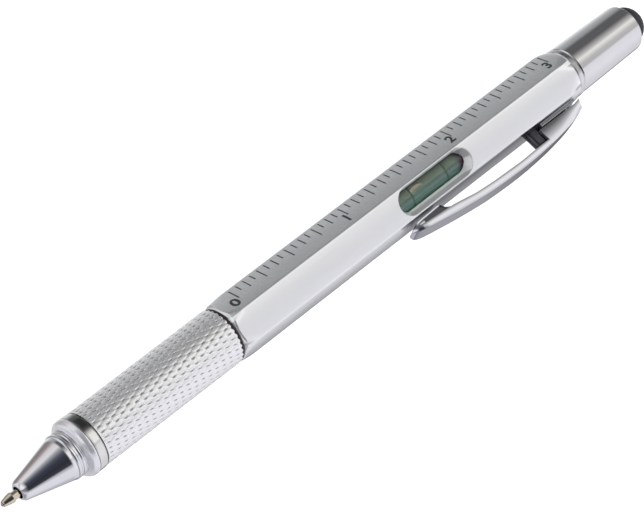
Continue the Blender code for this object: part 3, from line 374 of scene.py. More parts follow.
def round_piece(name, outline, look, body, slot, nodes, steps=96, radius=0.08, closed=True):
    """Turned piece with rounded corners."""
    shape = turned(fillet(outline, radius, closed), steps, closed)
    move(shape, ON_AXIS)
    piece = add_object(shape, name, 40.0)
    weigh(piece)
    finish(piece, look, body, slot, *nodes)


# Material helpers


EVEN = (1.0, 1.0, 1.0)


def new_material(name):
    """Empty material with its node tree and its shader."""
    made = bpy.data.materials.new(name)
    made.use_nodes = True
    return made, made.node_tree, made.node_tree.nodes["Principled BSDF"]


def feed(tree, made, inputs):
    """Link a node's inputs to sockets, or set their own values."""
    for key, value in inputs.items():
        if isinstance(value, bpy.types.NodeSocket):
            tree.links.new(value, made.inputs[key])
        else:
            made.inputs[key].default_value = value


def node(tree, kind, output, inputs, **settings):
    """Add a shader node and return one of its outputs."""
    made = tree.nodes.new("ShaderNode" + kind)
    for name, value in settings.items():
        setattr(made, name, value)
    feed(tree, made, inputs)
    return made.outputs[output]


def maths(tree, operation, *values):
    """Work on sockets or numbers."""
    return node(tree, "Math", "Value", dict(enumerate(values)), operation=operation)


def parts_of(tree, vector):
    """X, Y and Z of a vector socket."""
    split = tree.nodes.new("ShaderNodeSeparateXYZ")
    tree.links.new(vector, split.inputs["Vector"])
    return split.outputs["X"], split.outputs["Y"], split.outputs["Z"]


def object_place(tree):
    """Object coordinates."""
    return node(tree, "TexCoord", "Object", {})


def noise(tree, grain, scale, detail=3.0, rough=0.55):
    """Noise in object coordinates that are scaled by a grain."""
    vector = node(tree, "Mapping", "Vector", {"Vector": object_place(tree), "Scale": grain})
    inputs = {"Vector": vector, "Scale": scale, "Detail": detail, "Roughness": rough}
    return node(tree, "TexNoise", "Fac", inputs)


def spread(tree, value, low, high, start=0.3, end=0.7):
    """Map a value from one range to another."""
    inputs = {"Value": value, "From Min": start, "From Max": end, "To Min": low, "To Max": high}
    return node(tree, "MapRange", "Result", inputs)


def over(tree, value, start, end, low=0.0, high=1.0):
    """Range that a place passes between two marks in millimetres."""
    return spread(tree, value, low, high, start * MM, end * MM)


def blend(tree, factor, one, two, mode="MIX"):
    """Mix two colours by a factor."""
    inputs = {"Factor": factor, "A": one, "B": two}
    return node(tree, "Mix", "Result", inputs, data_type="RGBA", blend_type=mode)


def tones(tree, value, stops):
    """Colours along a value: stops of (position, (red, green, blue))."""
    made = tree.nodes.new("ShaderNodeValToRGB")
    ramp = made.color_ramp
    while len(ramp.elements) < len(stops):
        ramp.elements.new(0.5)
    for element, (position, colour) in zip(ramp.elements, stops):
        element.position = position
        element.color = (*colour, 1.0)
    tree.links.new(value, made.inputs["Fac"])
    return made.outputs["Color"]


def turn_share(tree, vector):
    """Share of a full turn of a vector about X: 0.5 at the top, more towards +Y."""
    _, y, z = parts_of(tree, vector)
    return spread(tree, maths(tree, "ARCTAN2", y, z), 0.0, 1.0, -math.pi, math.pi)


def round_tones(tree, share, table):
    """Colours round a full turn: a table of (degrees from the top, red, green, blue)."""
    return tones(tree, share, [((degrees + 180.0) / 360.0, colour) for degrees, *colour in table])


def scaled_colour(colour, factor):
    """A colour made darker or lighter."""
    return tuple(min(1.0, part * factor) for part in colour)


def drifting(tree, value, colour, low, high):
    """A colour that a noise value moves between a darker and a lighter share of itself."""
    return tones(tree, value, [(0.30, scaled_colour(colour, low)), (0.70, scaled_colour(colour, high))])


def relief(tree, shader, value, strength, distance, **normal):
    """Small bumps from a value; distance is in millimetres."""
    inputs = {"Height": value, "Strength": strength, "Distance": distance * MM, **normal}
    feed(tree, shader, {"Normal": node(tree, "Bump", "Normal", inputs)})


def grained(name, colour, rough, variation, drift, uneven, grain, relief_of, metallic, painted_band=None):
    """Surface with drifting tone, uneven roughness, a fine grain and maybe a painted reflection: a darker
    band along the round.
    """
    made, tree, shader = new_material(name)
    base = drifting(tree, noise(tree, EVEN, *drift), colour, 1 - variation, 1 + variation)
    if painted_band:
        angles, dip = painted_band
        # A darker band round the axis between four angles: a painted reflection.
        place = node(tree, "VectorMath", "Vector", {0: object_place(tree), 1: AXIS}, operation="SUBTRACT")
        table = [(angle, *[1 - part] * 3) for angle, part in zip(angles, (0.0, dip, dip, 0.0))]
        line = round_tones(tree, turn_share(tree, place), table)
        base = blend(tree, 1.0, base, line, "MULTIPLY")
    fine = noise(tree, *grain, 4.0, 0.6)
    bands = spread(tree, fine, rough * (1 - uneven), min(1.0, rough * (1 + uneven)))
    feed(tree, shader, {"Metallic": metallic, "Base Color": base, "Roughness": bands})
    relief(tree, shader, fine, *relief_of)
    return made


def metal(name, colour, rough, variation=0.04, grain=(EVEN, 2600.0), depth=0.0006, strength=0.25,
          metallic=1.0, painted_band=None):
    """Metal; a painted reflection band is (four angles from the top in degrees, how much darker it is
    between them).
    """
    bumps = (strength, depth)
    return grained(name, colour, rough, variation, (160.0, 2.0), 0.18, grain, bumps, metallic, painted_band)


def plastic(name, colour, rough, variation=0.15, grain_scale=2200.0, depth=0.004, strength=0.4):
    """Moulded plastic, rubber or print."""
    grain, bumps = (EVEN, grain_scale), (strength, depth)
    return grained(name, colour, rough, variation, (240.0, 3.0), 0.15, grain, bumps, 0.0)


# Materials


# Painted highlights and painted shade across the window's wall: (share across the pen, colour).
WALL_PAINTED_LIGHT_TONES = (
    (0.0, (0.90, 0.90, 0.92)), (0.03, (0.46, 0.46, 0.47)), (0.10, (0.56, 0.57, 0.56)),
    (0.125, (0.98, 1.0, 0.98)), (0.46, (1.0, 1.0, 1.0)), (0.52, (0.46, 0.46, 0.47)),
    (0.84, (0.42, 0.42, 0.43)), (0.88, (0.98, 1.0, 0.98)), (1.0, (0.98, 1.0, 0.98)),
)
# Painted shade in the knurl's pits: (share of the pit's painted shade, colour).
KNURL_PIT_SHADE_TONES = (
    (0.0, (0.96, 0.96, 0.965)), (0.25, (0.92, 0.92, 0.93)),
    (0.60, (0.55, 0.56, 0.58)), (1.0, (0.30, 0.31, 0.33)),
)
# Painted reflections and painted shade that streak the green liquid across the tube: (share across,
# colour).
LIQUID_PAINTED_LIGHT_TONES = (
    (0.16, (0.050, 0.105, 0.085)), (0.36, (0.060, 0.120, 0.105)), (0.50, (0.045, 0.075, 0.065)),
    (0.58, (0.070, 0.105, 0.068)), (0.74, (0.048, 0.062, 0.042)), (0.90, (0.022, 0.030, 0.024)),
)
# Painted highlight and painted darker rim of the bubble, across the pen: (share across, colour).
BUBBLE_PAINTED_LIGHT_TONES = (
    (0.0, (0.05, 0.10, 0.08)), (0.25, (0.07, 0.13, 0.10)), (0.52, (0.11, 0.16, 0.10)),
    (0.62, (0.30, 0.24, 0.19)), (0.80, (0.38, 0.28, 0.24)), (0.94, (0.13, 0.12, 0.09)),
    (1.0, (0.05, 0.07, 0.05)),
)


def barrel_metal(settings):
    """Satin aluminium drawn lengthwise, with painted highlights and painted shade across the window's
    polished wall, and a painted shadow on the flat below the clip.
    """
    made, tree, shader = new_material("satin_aluminium")
    satin = drifting(tree, noise(tree, (0.12, 1.0, 1.0), 420.0), settings.barrel_colour, 0.975, 1.02)
    place = object_place(tree)
    x, y, z = parts_of(tree, place)
    top = AXIS_Z + HALF_FLAT
    inside = over(tree, z, top - 0.20, top - 0.10, 1.0, 0.0)
    wall = maths(tree, "MULTIPLY", inside, over(tree, maths(tree, "ABSOLUTE", y), 2.62, 2.66, 1.0, 0.0))
    # A painted shadow of the clip lies on the clip's flat: up the flat, not on its corner, and between the
    # clip's ends.
    up = node(tree, "VectorMath", "Value", {0: place, 1: (0.0, 0.5, TALL)}, operation="DOT_PRODUCT")
    middle = AXIS_Z * TALL
    shaded = over(tree, up, middle - 2.5, middle + 1.9, 0.12, 0.97)
    for value, start, end, low, high in (
        (up, middle + 2.50, middle + 2.62, 1.0, 0.0), (y, -2.6, -2.4, 1.0, 0.0),
        (x, 32.2, 35.5, 0.0, 1.0), (x, 65.0, 77.0, 1.0, 0.0),
    ):
        shaded = maths(tree, "MULTIPLY", shaded, over(tree, value, start, end, low, high))
    # Dark colour of the painted shadow under the clip.
    under = blend(tree, shaded, satin, (0.020, 0.018, 0.026, 1.0))
    # The window's wall takes painted highlights and painted shade across the pen.
    across = tones(tree, over(tree, y, -2.65, 2.65), WALL_PAINTED_LIGHT_TONES)
    fine = noise(tree, (0.04, 1.0, 1.0), 5200.0, 4.0, 0.6)
    feed(tree, shader, {
        "Base Color": blend(tree, wall, under, across),
        "Metallic": spread(tree, wall, 0.80, 0.12, 0.0, 1.0),
        "Roughness": spread(tree, fine, 0.13, 0.19),
    })
    rounding = node(tree, "Bevel", "Normal", {"Radius": 0.22 * MM}, samples=6)
    relief(tree, shader, fine, 0.16, 0.0006, Normal=rounding)
    return made


def knurl_metal():
    """Bright cut aluminium with painted shade in the pits where the grooves cross."""
    made, tree, shader = new_material("knurled_bright_aluminium")
    # The groove attribute holds the painted shade of the pits.
    cuts = node(tree, "Attribute", "Fac", {}, attribute_name="groove")
    fine = noise(tree, EVEN, 2400.0)
    feed(tree, shader, {
        "Metallic": 0.78, "Base Color": tones(tree, cuts, KNURL_PIT_SHADE_TONES),
        "Roughness": spread(tree, fine, 0.20, 0.36),
    })
    relief(tree, shader, fine, 0.5, 0.022)
    return made


def glass_material(name, colour):
    """Clear tube that shows what is inside it."""
    made, tree, shader = new_material(name)
    drift = noise(tree, (0.3, 1.0, 1.0), 300.0, 2.0)
    feed(tree, shader, {
        "Transmission Weight": 1.0, "IOR": 1.30,
        "Base Color": drifting(tree, drift, colour, 0.97, 1.0),
        "Roughness": spread(tree, drift, 0.02, 0.05),
    })
    return made


def fluid_material(settings):
    """Green liquid with long bands of painted reflection and painted shade from the tube's wall, a painted
    glow and a plum rear end.
    """
    made, tree, shader = new_material("level_liquid")
    x, y, _ = parts_of(tree, object_place(tree))
    waver = noise(tree, (0.25, 1.0, 1.0), 700.0, 2.0)
    across = over(tree, maths(tree, "MULTIPLY_ADD", waver, 0.5 * MM, y), -1.9, 2.3)
    # The liquid's own green, darkened and lightened across the tube by painted reflections and painted
    # shade.
    painted_liquid_bands = tones(tree, across, ((0.0, scaled_colour(settings.fluid_colour, 0.7)), *LIQUID_PAINTED_LIGHT_TONES))
    colour = blend(tree, over(tree, x, 48.4, 49.6), painted_liquid_bands, (0.034, 0.018, 0.030, 1.0))
    # The emission is a painted glow that stands in for light scattered in the liquid.
    feed(tree, shader, {
        "Base Color": colour, "Emission Color": colour, "Emission Strength": 0.45,
        "Roughness": 0.12, "Coat Weight": 0.5, "Coat Roughness": 0.06,
    })
    return made


def bubble_material():
    """Air bubble drawn in painted light: a pale warm painted highlight, a painted darker rim and a painted
    glow.
    """
    made, tree, shader = new_material("level_bubble")
    colour = tones(tree, over(tree, parts_of(tree, object_place(tree))[1], -0.5, 1.55), BUBBLE_PAINTED_LIGHT_TONES)
    feed(tree, shader, {
        "Base Color": colour, "Emission Color": colour, "Emission Strength": 0.35, "Roughness": 0.08,
    })
    return made


LOOKS = {}
DRAWN = ((0.10, 1.0, 1.0), 4200.0)
CAST = ((0.08, 1.0, 1.0), 5200.0)
LATHED = ((1.0, 0.1, 0.1), 3600.0)


def build_looks(settings):
    """Make every material once."""

    def streaked(name, colour, rough, *painted_band):
        return metal(name, colour, rough, 0.025, CAST, 0.0005, 0.18, painted_band=painted_band)

    LOOKS.update({
        "barrel": barrel_metal(settings),
        "knurl": knurl_metal(),
        "nose": metal("nose_plating", settings.chrome_colour, 0.075, 0.02, depth=0.0010, strength=0.32),
        "flare": metal("flare_plating", (0.84, 0.84, 0.87), 0.15, 0.03, ((1.0, 0.06, 0.06), 5200.0),
                       0.0010, 0.4, metallic=0.60),
        # The band, the ring and the cap carry painted dark reflections round them between the listed
        # angles.
        "band": streaked("band_plating", (0.82, 0.81, 0.79), 0.07, (24.0, 31.0, 68.0, 78.0), 0.72),
        "ring": streaked("ring_plating", (0.80, 0.80, 0.82), 0.15, (-9.0, 5.5, 16.5, 40.0), 0.48),
        "cap": streaked("cap_plating", (0.84, 0.835, 0.845), 0.13, (-3.0, 3.5, 8.5, 19.0), 0.42),
        "clip": metal("clip_plating", (0.80, 0.81, 0.86), 0.15, 0.03, DRAWN, strength=0.2),
        # A darker copy of the clip's plating: painted shade on the clip's outer faces.
        "clip_outer_painted_shade": metal("clip_painted_shade_plating", (0.36, 0.36, 0.39), 0.18, 0.03, DRAWN, strength=0.2),
        "hollow": metal("clip_shaded_plating", (0.22, 0.23, 0.24), 0.30, 0.15, ((0.2, 1.0, 1.0), 2600.0),
                        0.004, 0.4),
        "seat": metal("seat_steel", (0.50, 0.52, 0.53), 0.28, 0.06, ((0.05, 1.0, 1.0), 4200.0), 0.002, 0.4),
        "pin": metal("pin_steel_bright", (0.60, 0.60, 0.62), 0.25),
        "boss": metal("boss_dark_steel", (0.10, 0.10, 0.11), 0.34, 0.12),
        "holder": metal("holder_turned_steel", (0.58, 0.58, 0.60), 0.28, 0.05, ((1.0, 0.1, 0.1), 3200.0),
                        0.002, 0.35),
        "bit": metal("bit_hardened_steel", (0.46, 0.46, 0.48), 0.30, 0.08, ((0.10, 1.0, 1.0), 3000.0),
                     0.002, 0.35),
        "point": metal("point_nickel_silver_turned", (0.74, 0.66, 0.53), 0.14, 0.05, LATHED, 0.001, 0.2),
        "ball": metal("ball_hard_metal", (0.50, 0.50, 0.52), 0.15),
        "brass": metal("drawn_brass", (0.74, 0.58, 0.30), 0.28, 0.06, ((0.06, 1.0, 1.0), 3600.0),
                       0.002, 0.3),
        "core": metal("turned_brass", (0.76, 0.60, 0.33), 0.24, 0.05, LATHED, 0.003, 0.35),
        "spring": metal("spring_wire", (0.60, 0.60, 0.62), 0.25, 0.06),
        "friction": plastic("friction_ring_black", (0.022, 0.012, 0.014), 0.42, 0.2),
        "dome": plastic("dome_rubber_black", (0.022, 0.022, 0.025), 0.62, 0.25, 5200.0, 0.02, 0.8),
        "black": plastic("moulded_black", (0.030, 0.030, 0.032), 0.42),
        "stopper": plastic("stopper_plum", (0.045, 0.022, 0.040), 0.35),
        "stem": plastic("stem_grey_plastic", (0.22, 0.22, 0.23), 0.48),
        "white": plastic("sleeve_white_plastic", (0.72, 0.72, 0.70), 0.42, 0.04),
        "ink": plastic("refill_ink_dark", (0.012, 0.014, 0.05), 0.25, 0.2),
        "print": plastic("ruler_print", settings.print_colour, 0.55, 0.2, 5200.0, 0.001, 0.3),
        "line": plastic("level_line_print", (0.030, 0.050, 0.042), 0.45, 0.2),
        "glass": glass_material("level_tube_clear", (0.92, 0.97, 0.94)),
        "fluid": fluid_material(settings),
        "bubble": bubble_material(),
    })


INSIDE_LOOKS = {
    "guide_sleeve": "white", "bit_holder": "holder", "twist_core": "core", "return_spring": "spring",
    "refill_tube": "brass", "refill_ink": "ink", "cam_plunger": "black", "clip_pin": "pin",
    "cap_liner": "black", "stylus_core": "stem", "screwdriver_bit": "bit",
}


def dress_inside():
    """Procedural finishes for the CAD pieces that stay as they are."""
    for name, look in INSIDE_LOOKS.items():
        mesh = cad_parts[name].data
        mesh.materials.clear()
        mesh.materials.append(LOOKS[look])


# Pieces


# Cuts across the barrel's ends, and how its corners come up behind a turned end: (share, share left).
FRONT_CUTS = (0.04, 0.10, 0.18, 0.24, 0.30, 0.42, 0.60, 0.85, 1.15, 1.5, 1.9, 2.4, 3.0)
REAR_CUTS = (0.04, 0.10, 0.18, 0.30, 0.45, 0.65, 0.90, 1.2, 1.55, 1.95, 2.4, 2.9, 3.5)
TURNED_RISE = ((0.0, 1.0), (0.1, 0.89), (0.2, 0.78), (0.45, 0.50), (0.72, 0.22), (0.88, 0.07), (1.0, 0.0))
# Lip in front: (place, height over the flats). Window: (length, width, height over the flats).
FRONT_LIP = ((0.0, -0.16), (0.10, -0.02), (0.18, 0.10), (0.24, 0.17), (0.30, 0.23))
WINDOW = ((15.9, 3.7, -2.6), (15.9, 3.7, -1.7), (17.3, 5.1, -0.16), (17.9, 5.7, 0.46))


def crown(across):
    """How far a flat falls away beside its middle line."""
    fall, at = 0.055, 2.3
    return fall * (across / at) ** 2


def hexagon_bar(length, rounding):
    """Hexagonal bar along X with its flats up and down, rounded long corners and cuts across its ends."""
    shape = bmesh.new()
    bmesh.ops.create_circle(shape, cap_ends=True, radius=HALF_FLAT / math.cos(HEX_HALF) * MM, segments=6)
    move(shape, Matrix.Rotation(math.pi / 2, 4, "Y"))
    flat_up = math.degrees(max(math.atan2(v.co.z, v.co.y) for v in shape.verts)) % 60
    move(shape, Matrix.Rotation(math.radians(-flat_up), 4, "X"))
    push(shape, shape.faces[:], (length * MM, 0, 0))
    offset = rounding * math.tan(HEX_HALF) * MM
    lying = [edge for edge in shape.edges if abs(edge.verts[0].co.x - edge.verts[1].co.x) > MM]
    bmesh.ops.bevel(shape, geom=lying, offset=offset, offset_type="OFFSET", affect="EDGES",
                    segments=8, profile=0.5, material=-1)
    wide = [edge for edge in shape.edges if abs(edge.verts[0].co.x - edge.verts[1].co.x) < 0.1 * MM
            and edge.calc_length() > 3 * MM]
    bmesh.ops.subdivide_edges(shape, edges=wide, cuts=15, use_grid_fill=True)
    for place in FRONT_CUTS + tuple(length - back for back in REAR_CUTS):
        bmesh.ops.bisect_plane(shape, geom=shape.verts[:] + shape.edges[:] + shape.faces[:],
                               plane_co=(place * MM, 0, 0), plane_no=(1, 0, 0))
    return shape


def build_barrel(settings):
    """Hexagonal barrel with rounded corners, turned ends, bore and window."""
    lead, bore, easing, past = 0.16, 3.4, 0.30, 1
    start = BARREL_START - lead
    length = BARREL_END - start
    rounding, front_drop, rear_drop = (
        part / MM for part in (settings.corner_radius, settings.front_drop, settings.rear_drop))
    shape = hexagon_bar(length, rounding)
    tip = (HALF_FLAT - rounding) / math.cos(HEX_HALF) + rounding
    front = [(place, HALF_FLAT + height) for place, height in FRONT_LIP]
    front += [(0.42 + share * 2.2, tip - left * front_drop) for share, left in TURNED_RISE]
    front.append((3.0, tip + 0.5))
    rear = [(0.0, tip - rear_drop - 0.10)]
    rear += [(0.10 + share * 3.0, tip - left * rear_drop) for share, left in TURNED_RISE]
    rear.append((3.6, tip + 0.5))
    for vertex in shape.verts:
        angle = (math.atan2(vertex.co.y, vertex.co.z) + HEX_HALF) % (2 * HEX_HALF) - HEX_HALF
        radius = math.hypot(vertex.co.y, vertex.co.z) / MM
        place = vertex.co.x / MM
        wall = radius - crown(math.tan(angle) * HALF_FLAT)
        limit = min(line_value(front, place), line_value(rear, length - place))
        factor = eased_min(wall, limit, easing) / radius
        vertex.co.y *= factor
        vertex.co.z *= factor
    bmesh.ops.translate(shape, vec=(start * MM, 0, AXIS_Z * MM), verts=shape.verts[:])
    bmesh.ops.recalc_face_normals(shape, faces=shape.faces[:])
    barrel = add_object(shape, "barrel_shell")
    ends = (BARREL_START - past, BARREL_END + past)
    shape = turned([(ends[0], 0.0), (ends[0], bore), (ends[1], bore), (ends[1], 0.0)], closed=False)
    move(shape, ON_AXIS)
    cut(barrel, add_object(shape, "drill"))
    centre = sum(span("vial_tube")) / 2
    shape = loft_solid([slot_loop(centre, long, wide, HALF_FLAT + up, 32) for long, wide, up in WINDOW])
    move(shape, ON_AXIS)
    cut(barrel, add_object(shape, "window"))
    shade(barrel.data, 26.0)
    weigh(barrel)
    finish(barrel, "barrel", "barrel", "barrel_aluminium", "hex_barrel")


INCH = 25.4
PRINT_THICK = 0.012
# Figures of the ruler: (number, shift along the pen, width against height).
FIGURES = ((0, -1.26, 1.22), (1, -0.80, 1.0), (2, -0.80, 1.05), (3, -0.84, 1.05))


def lay_on_flat(shape):
    """Lower a print to the crowned flat and move it to the ruler's flat."""
    for vertex in shape.verts:
        vertex.co.z -= crown(vertex.co.y / MM) * MM
    down = Vector((0.0, 0.5, -TALL))
    axes = Matrix((Vector((1, 0, 0)), down, RULER_OUT)).transposed().to_4x4()
    move(shape, Matrix.Translation(AXIS + RULER_OUT * HALF_FLAT * MM) @ axes)


def figure_shape(number):
    """Solid figure from Blender's own font."""
    curve = bpy.data.curves.new("figure", "FONT")
    curve.body = str(number)
    curve.align_x = "CENTER"
    curve.size = 1.0
    curve.extrude = 0.004
    curve.offset = 0.034
    holder = bpy.data.objects.new("figure", curve)
    bpy.context.scene.collection.objects.link(holder)
    bpy.context.view_layer.update()
    mesh = bpy.data.meshes.new_from_object(holder.evaluated_get(bpy.context.evaluated_depsgraph_get()))
    bpy.data.objects.remove(holder)
    bpy.data.curves.remove(curve)
    shape = bmesh.new()
    shape.from_mesh(mesh)
    bpy.data.meshes.remove(mesh)
    return shape


def build_ruler(rule):
    """Printed lines and figures of the inch ruler."""
    marks, outer, figure_side = 16, 2.2, -0.72
    shape = bmesh.new()
    for step in range(3 * marks + 1):
        length = rule.long_line if step % 4 == 0 else rule.middle_line if step % 2 == 0 else rule.short_line
        length /= MM
        size = Matrix.Diagonal((rule.line_width, length * MM, PRINT_THICK * MM, 1.0))
        at = Vector((step * INCH / marks, outer - length / 2, PRINT_THICK / 2)) * MM
        made = bmesh.ops.create_cube(shape, size=1.0, matrix=Matrix.Translation(at) @ size)["verts"]
        long_edges = [edge for edge in {edge for vertex in made for edge in vertex.link_edges}
                      if abs(edge.verts[0].co.y - edge.verts[1].co.y) > 0.1 * MM]
        bmesh.ops.subdivide_edges(shape, edges=long_edges, cuts=5, use_grid_fill=True)
    lay_on_flat(shape)
    finish(add_object(shape, "ruler_lines"), "print", "barrel", "line_black")
    whole = bmesh.new()
    for number, shift, wide in FIGURES:
        shape = figure_shape(number)
        low = [min(v.co[k] for v in shape.verts) for k in range(3)]
        high = [max(v.co[k] for v in shape.verts) for k in range(3)]
        tall = rule.figure_height / (high[1] - low[1])
        middle = Matrix.Translation([-(low[k] + high[k]) / 2 for k in range(2)] + [-low[2]])
        size = Matrix.Diagonal((tall * wide, tall, PRINT_THICK / (high[2] - low[2]) * MM, 1.0))
        at = Matrix.Translation(((number * INCH + shift) * MM, figure_side * MM, 0.0))
        move(shape, at @ size @ middle)
        bmesh.ops.remove_doubles(shape, verts=shape.verts[:], dist=1e-7)
        lay_on_flat(shape)
        mesh = bpy.data.meshes.new("figure")
        shape.to_mesh(mesh)
        shape.free()
        whole.from_mesh(mesh)
        bpy.data.meshes.remove(mesh)
    finish(add_object(whole, "ruler_figures"), "print", "barrel", "line_black")


def build_level():
    """Tube, liquid, stoppers, reading lines and bubble of the level."""
    wall, play = 0.12, 0.02
    front, rear = span("vial_tube")
    outer = reach("vial_tube")
    inner = outer - wall
    radius = inner - play
    round_piece("level_tube", [(front, inner), (front, outer), (rear, outer), (rear, inner)],
                "glass", "barrel", "vial_clear", ["vial_tube"], 128, 0.12)

    def plug(name, look, slot, part, steps):
        low, high = span(part)
        outline = [(low, 0.0), (low, radius), (high, radius), (high, 0.0)]
        round_piece(name, outline, look, "barrel", slot, [part], steps, 0.1, closed=False)

    plug("level_liquid", "fluid", "fluid_green", "vial_fluid", 128)
    line_inset, line_low, line_high = 0.11, outer + 0.01, outer + 0.04
    for side in ("front", "rear"):
        plug("level_stopper_" + side, "stopper", "stopper_dark", "vial_plug_" + side, 96)
        part = "vial_line_" + side
        low, high = span(part)
        low, high = low + line_inset, high - line_inset
        outline = [(low, line_low), (low, line_high), (high, line_high), (high, line_low)]
        round_piece("level_line_" + side, outline, "line", "barrel", "line_black", [part], 128, 0.02)
    # The bubble is a flat lens that lies against the top of the tube, a little to the ruler's side.
    aside, shift, below, thick = 0.50, 0.6, 0.10, 0.14
    low, high = span("air_bubble")
    half = (high - low) / 2
    shape = bmesh.new()
    bmesh.ops.create_uvsphere(shape, u_segments=48, v_segments=24, radius=1.0)
    for vertex in shape.verts:
        x, y, z = vertex.co
        angle = (aside + y) / radius
        away = radius - below + thick * z
        across, up = away * math.sin(angle), AXIS_Z + away * math.cos(angle)
        vertex.co = Vector(((low + high) / 2 + shift + x * half, across, up)) * MM
    finish(add_object(shape, "level_bubble_lens"), "bubble", "bubble", "air_pale", "air_bubble")


def build_grip(knurl):
    """Knurled grip: a turned sleeve whose wall is cut by two crossing sets of helical grooves."""
    inner, front, back, shoulder = 3.45, 5.00, 5.08, 0.26
    groove_half, skew, pit_long, pit_wide, pit_shade_strength = 0.28, 0.14, 0.52, 0.13, 1.7
    edge_run, edge_left, notch_run, notch_deep = 0.25, 0.35, 0.30, 0.18
    start, end = span("knurled_grip")
    pitch, first, depth, pit_deep = (
        part / MM for part in (knurl.pitch, knurl.first, knurl.depth, knurl.pit))
    outline = [(start, inner), (start, front - shoulder)]
    shares = [row / knurl.rows for row in range(knurl.rows + 1)]
    outline += [(start + (end - start) * share, front + (back - front) * share) for share in shares]
    outline += [(end, back - shoulder), (end, inner)]
    shape = turned(outline, knurl.columns * knurl.steps)
    cuts = shape.verts.layers.float.new("groove")
    for vertex in shape.verts:
        radius = math.hypot(vertex.co.y, vertex.co.z) / MM
        if radius < front - 0.1:
            continue
        place = vertex.co.x / MM
        along = (place - first) / pitch
        about = (math.atan2(vertex.co.y, vertex.co.z) - knurl.turn) / FULL * knurl.columns
        one = (along + about + 0.5) % 1.0 - 0.5
        two = (along - about + 0.5) % 1.0 - 0.5
        groove = max(0.0, 1 - abs(one) / groove_half) + max(0.0, 1 - abs(two) / groove_half)
        ahead = (one + two) / 2 * pitch
        beside = (one - two) / 2 * FULL * front / knurl.columns + skew * ahead
        pit = max(0.0, 1 - math.hypot(ahead / pit_long, beside / pit_wide))
        edge = min(1.0, (place - start) / edge_run + edge_left)
        notch = max(0.0, 1 - (end - place) / notch_run) * (0.5 + 0.5 * math.cos(FULL * (about + along)))
        factor = (radius - (depth * groove + pit_deep * pit + notch_deep * notch) * edge) / radius
        # The groove attribute stores painted shade for the pits, not the grooves' depth.
        vertex[cuts] = min(1.0, pit_shade_strength * pit) * edge
        vertex.co.y *= factor
        vertex.co.z *= factor
    move(shape, ON_AXIS)
    finish(add_object(shape, "knurled_sleeve", 60.0), "knurl", "grip", "knurled_aluminium", "knurled_grip")


def build_grip_rings():
    """Plain band in front of the knurl and the dark ring behind it."""
    low, high = span("grip_band")
    inner, face, crest = 4.17, 5.00, 5.06
    outline = [(low, inner), (low, face), (low + 0.06, crest), (high - 0.34, crest), (high - 0.30, face),
               (high - 0.24, face), (high - 0.05, face - 0.12), (high, face - 0.18), (high, inner)]
    round_piece("bright_band", outline, "band", "grip", "band_nickel", ["grip_band"], 160, 0.03)
    low, high = span("friction_ring")
    high -= 0.14
    outline = [(low, 3.4), (low, 5.00), (high, 4.90), (high, 3.4)]
    round_piece("dark_ring", outline, "friction", "barrel", "friction_black", ["friction_ring"], 160, 0.12)


# Profile of one nose ring with the groove behind it: (place, radius over the groove's floor).
NOSE_RING = (
    (0.05, 0.0), (0.10, 0.0), (0.16, 0.14), (0.20, 0.17), (0.62, 0.17), (0.66, 0.14),
    (0.70, 0.0), (0.74, 0.0), (0.78, 0.09), (0.86, 0.09), (0.90, 0.0),
)
NOSE_FLARE = ((0.0, 4.06), (0.10, 4.22), (0.22, 4.55), (0.42, 4.84), (0.80, 5.04), (1.30, 5.12))


def build_nose():
    """Polished nose: rim, cone, two rings, flare and inner bore."""
    front, rear = span("nose_cone")
    cone, cone_start, cone_end, floor, pitch, rings = 8.9, 1.76, 3.88, 3.86, 0.93, 2
    outline = [(front, 1.10), (front, 1.36), (front + 0.12, 1.50), (front + 0.40, cone_start)]
    outline += [(front + 0.4 + (cone - 0.4) * k / 8, cone_start + (cone_end - cone_start) * k / 8)
                for k in range(1, 9)]
    for ring in range(rings):
        outline += [(front + cone + ring * pitch + x, floor + r) for x, r in NOSE_RING]
    base = front + cone + rings * pitch
    outline += [(base + x, r) for x, r in smooth_line(NOSE_FLARE)]
    outline += [(base + 1.46, 5.11), (base + 1.54, 5.04), (base + 1.54, 4.12), (rear, 4.12), (rear, 2.2),
                (front + 5.0, 2.2), (front + 5.0, 1.5), (front + 1.8, 1.48), (front + 1.8, 1.12)]
    shape = turned(outline, 160)
    move(shape, ON_AXIS)
    piece = add_object(shape, "nose_shell", 45.0)
    weigh(piece)
    finish(piece, "nose", "grip", "nose_chrome", "nose_cone")

    def on_flare(face):
        radius = math.hypot(face.center.y, face.center.z - AXIS.z)
        return (base + 0.02) * MM < face.center.x < (base + 1.50) * MM and radius > 4.0 * MM

    second_finish(piece, "flare", on_flare)


POINT_CONE = ((0.40, 0.52), (0.95, 0.67), (1.5, 0.79), (2.1, 0.87))


def build_point():
    """Writing point with its ball."""
    front, rear = span("writing_ball")[0], span("refill_tip")[1]
    ball = 0.35
    outline = [(front + 0.74, 0.0), (front + 0.74, 0.39), (front + 0.31, 0.39), (front + 0.31, 0.46)]
    outline += [(front + x, r) for x, r in smooth_line(POINT_CONE, 3)]
    outline += [(front + 2.2, 0.86), (front + 2.24, 0.71), (front + 6.7, 0.71), (front + 6.7, 0.84),
                (rear, 0.84), (rear, 0.0)]
    shape = turned(outline, 64, closed=False)
    move(shape, ON_AXIS)
    finish(add_object(shape, "point_shell", 30.0), "point", "refill", "point_nickel_silver", "refill_tip")
    shape = bmesh.new()
    bmesh.ops.create_uvsphere(shape, u_segments=32, v_segments=16, radius=ball * MM)
    bmesh.ops.translate(shape, vec=((front + ball) * MM, 0, AXIS_Z * MM), verts=shape.verts[:])
    finish(add_object(shape, "point_ball"), "ball", "ball", "ball_carbide", "writing_ball")


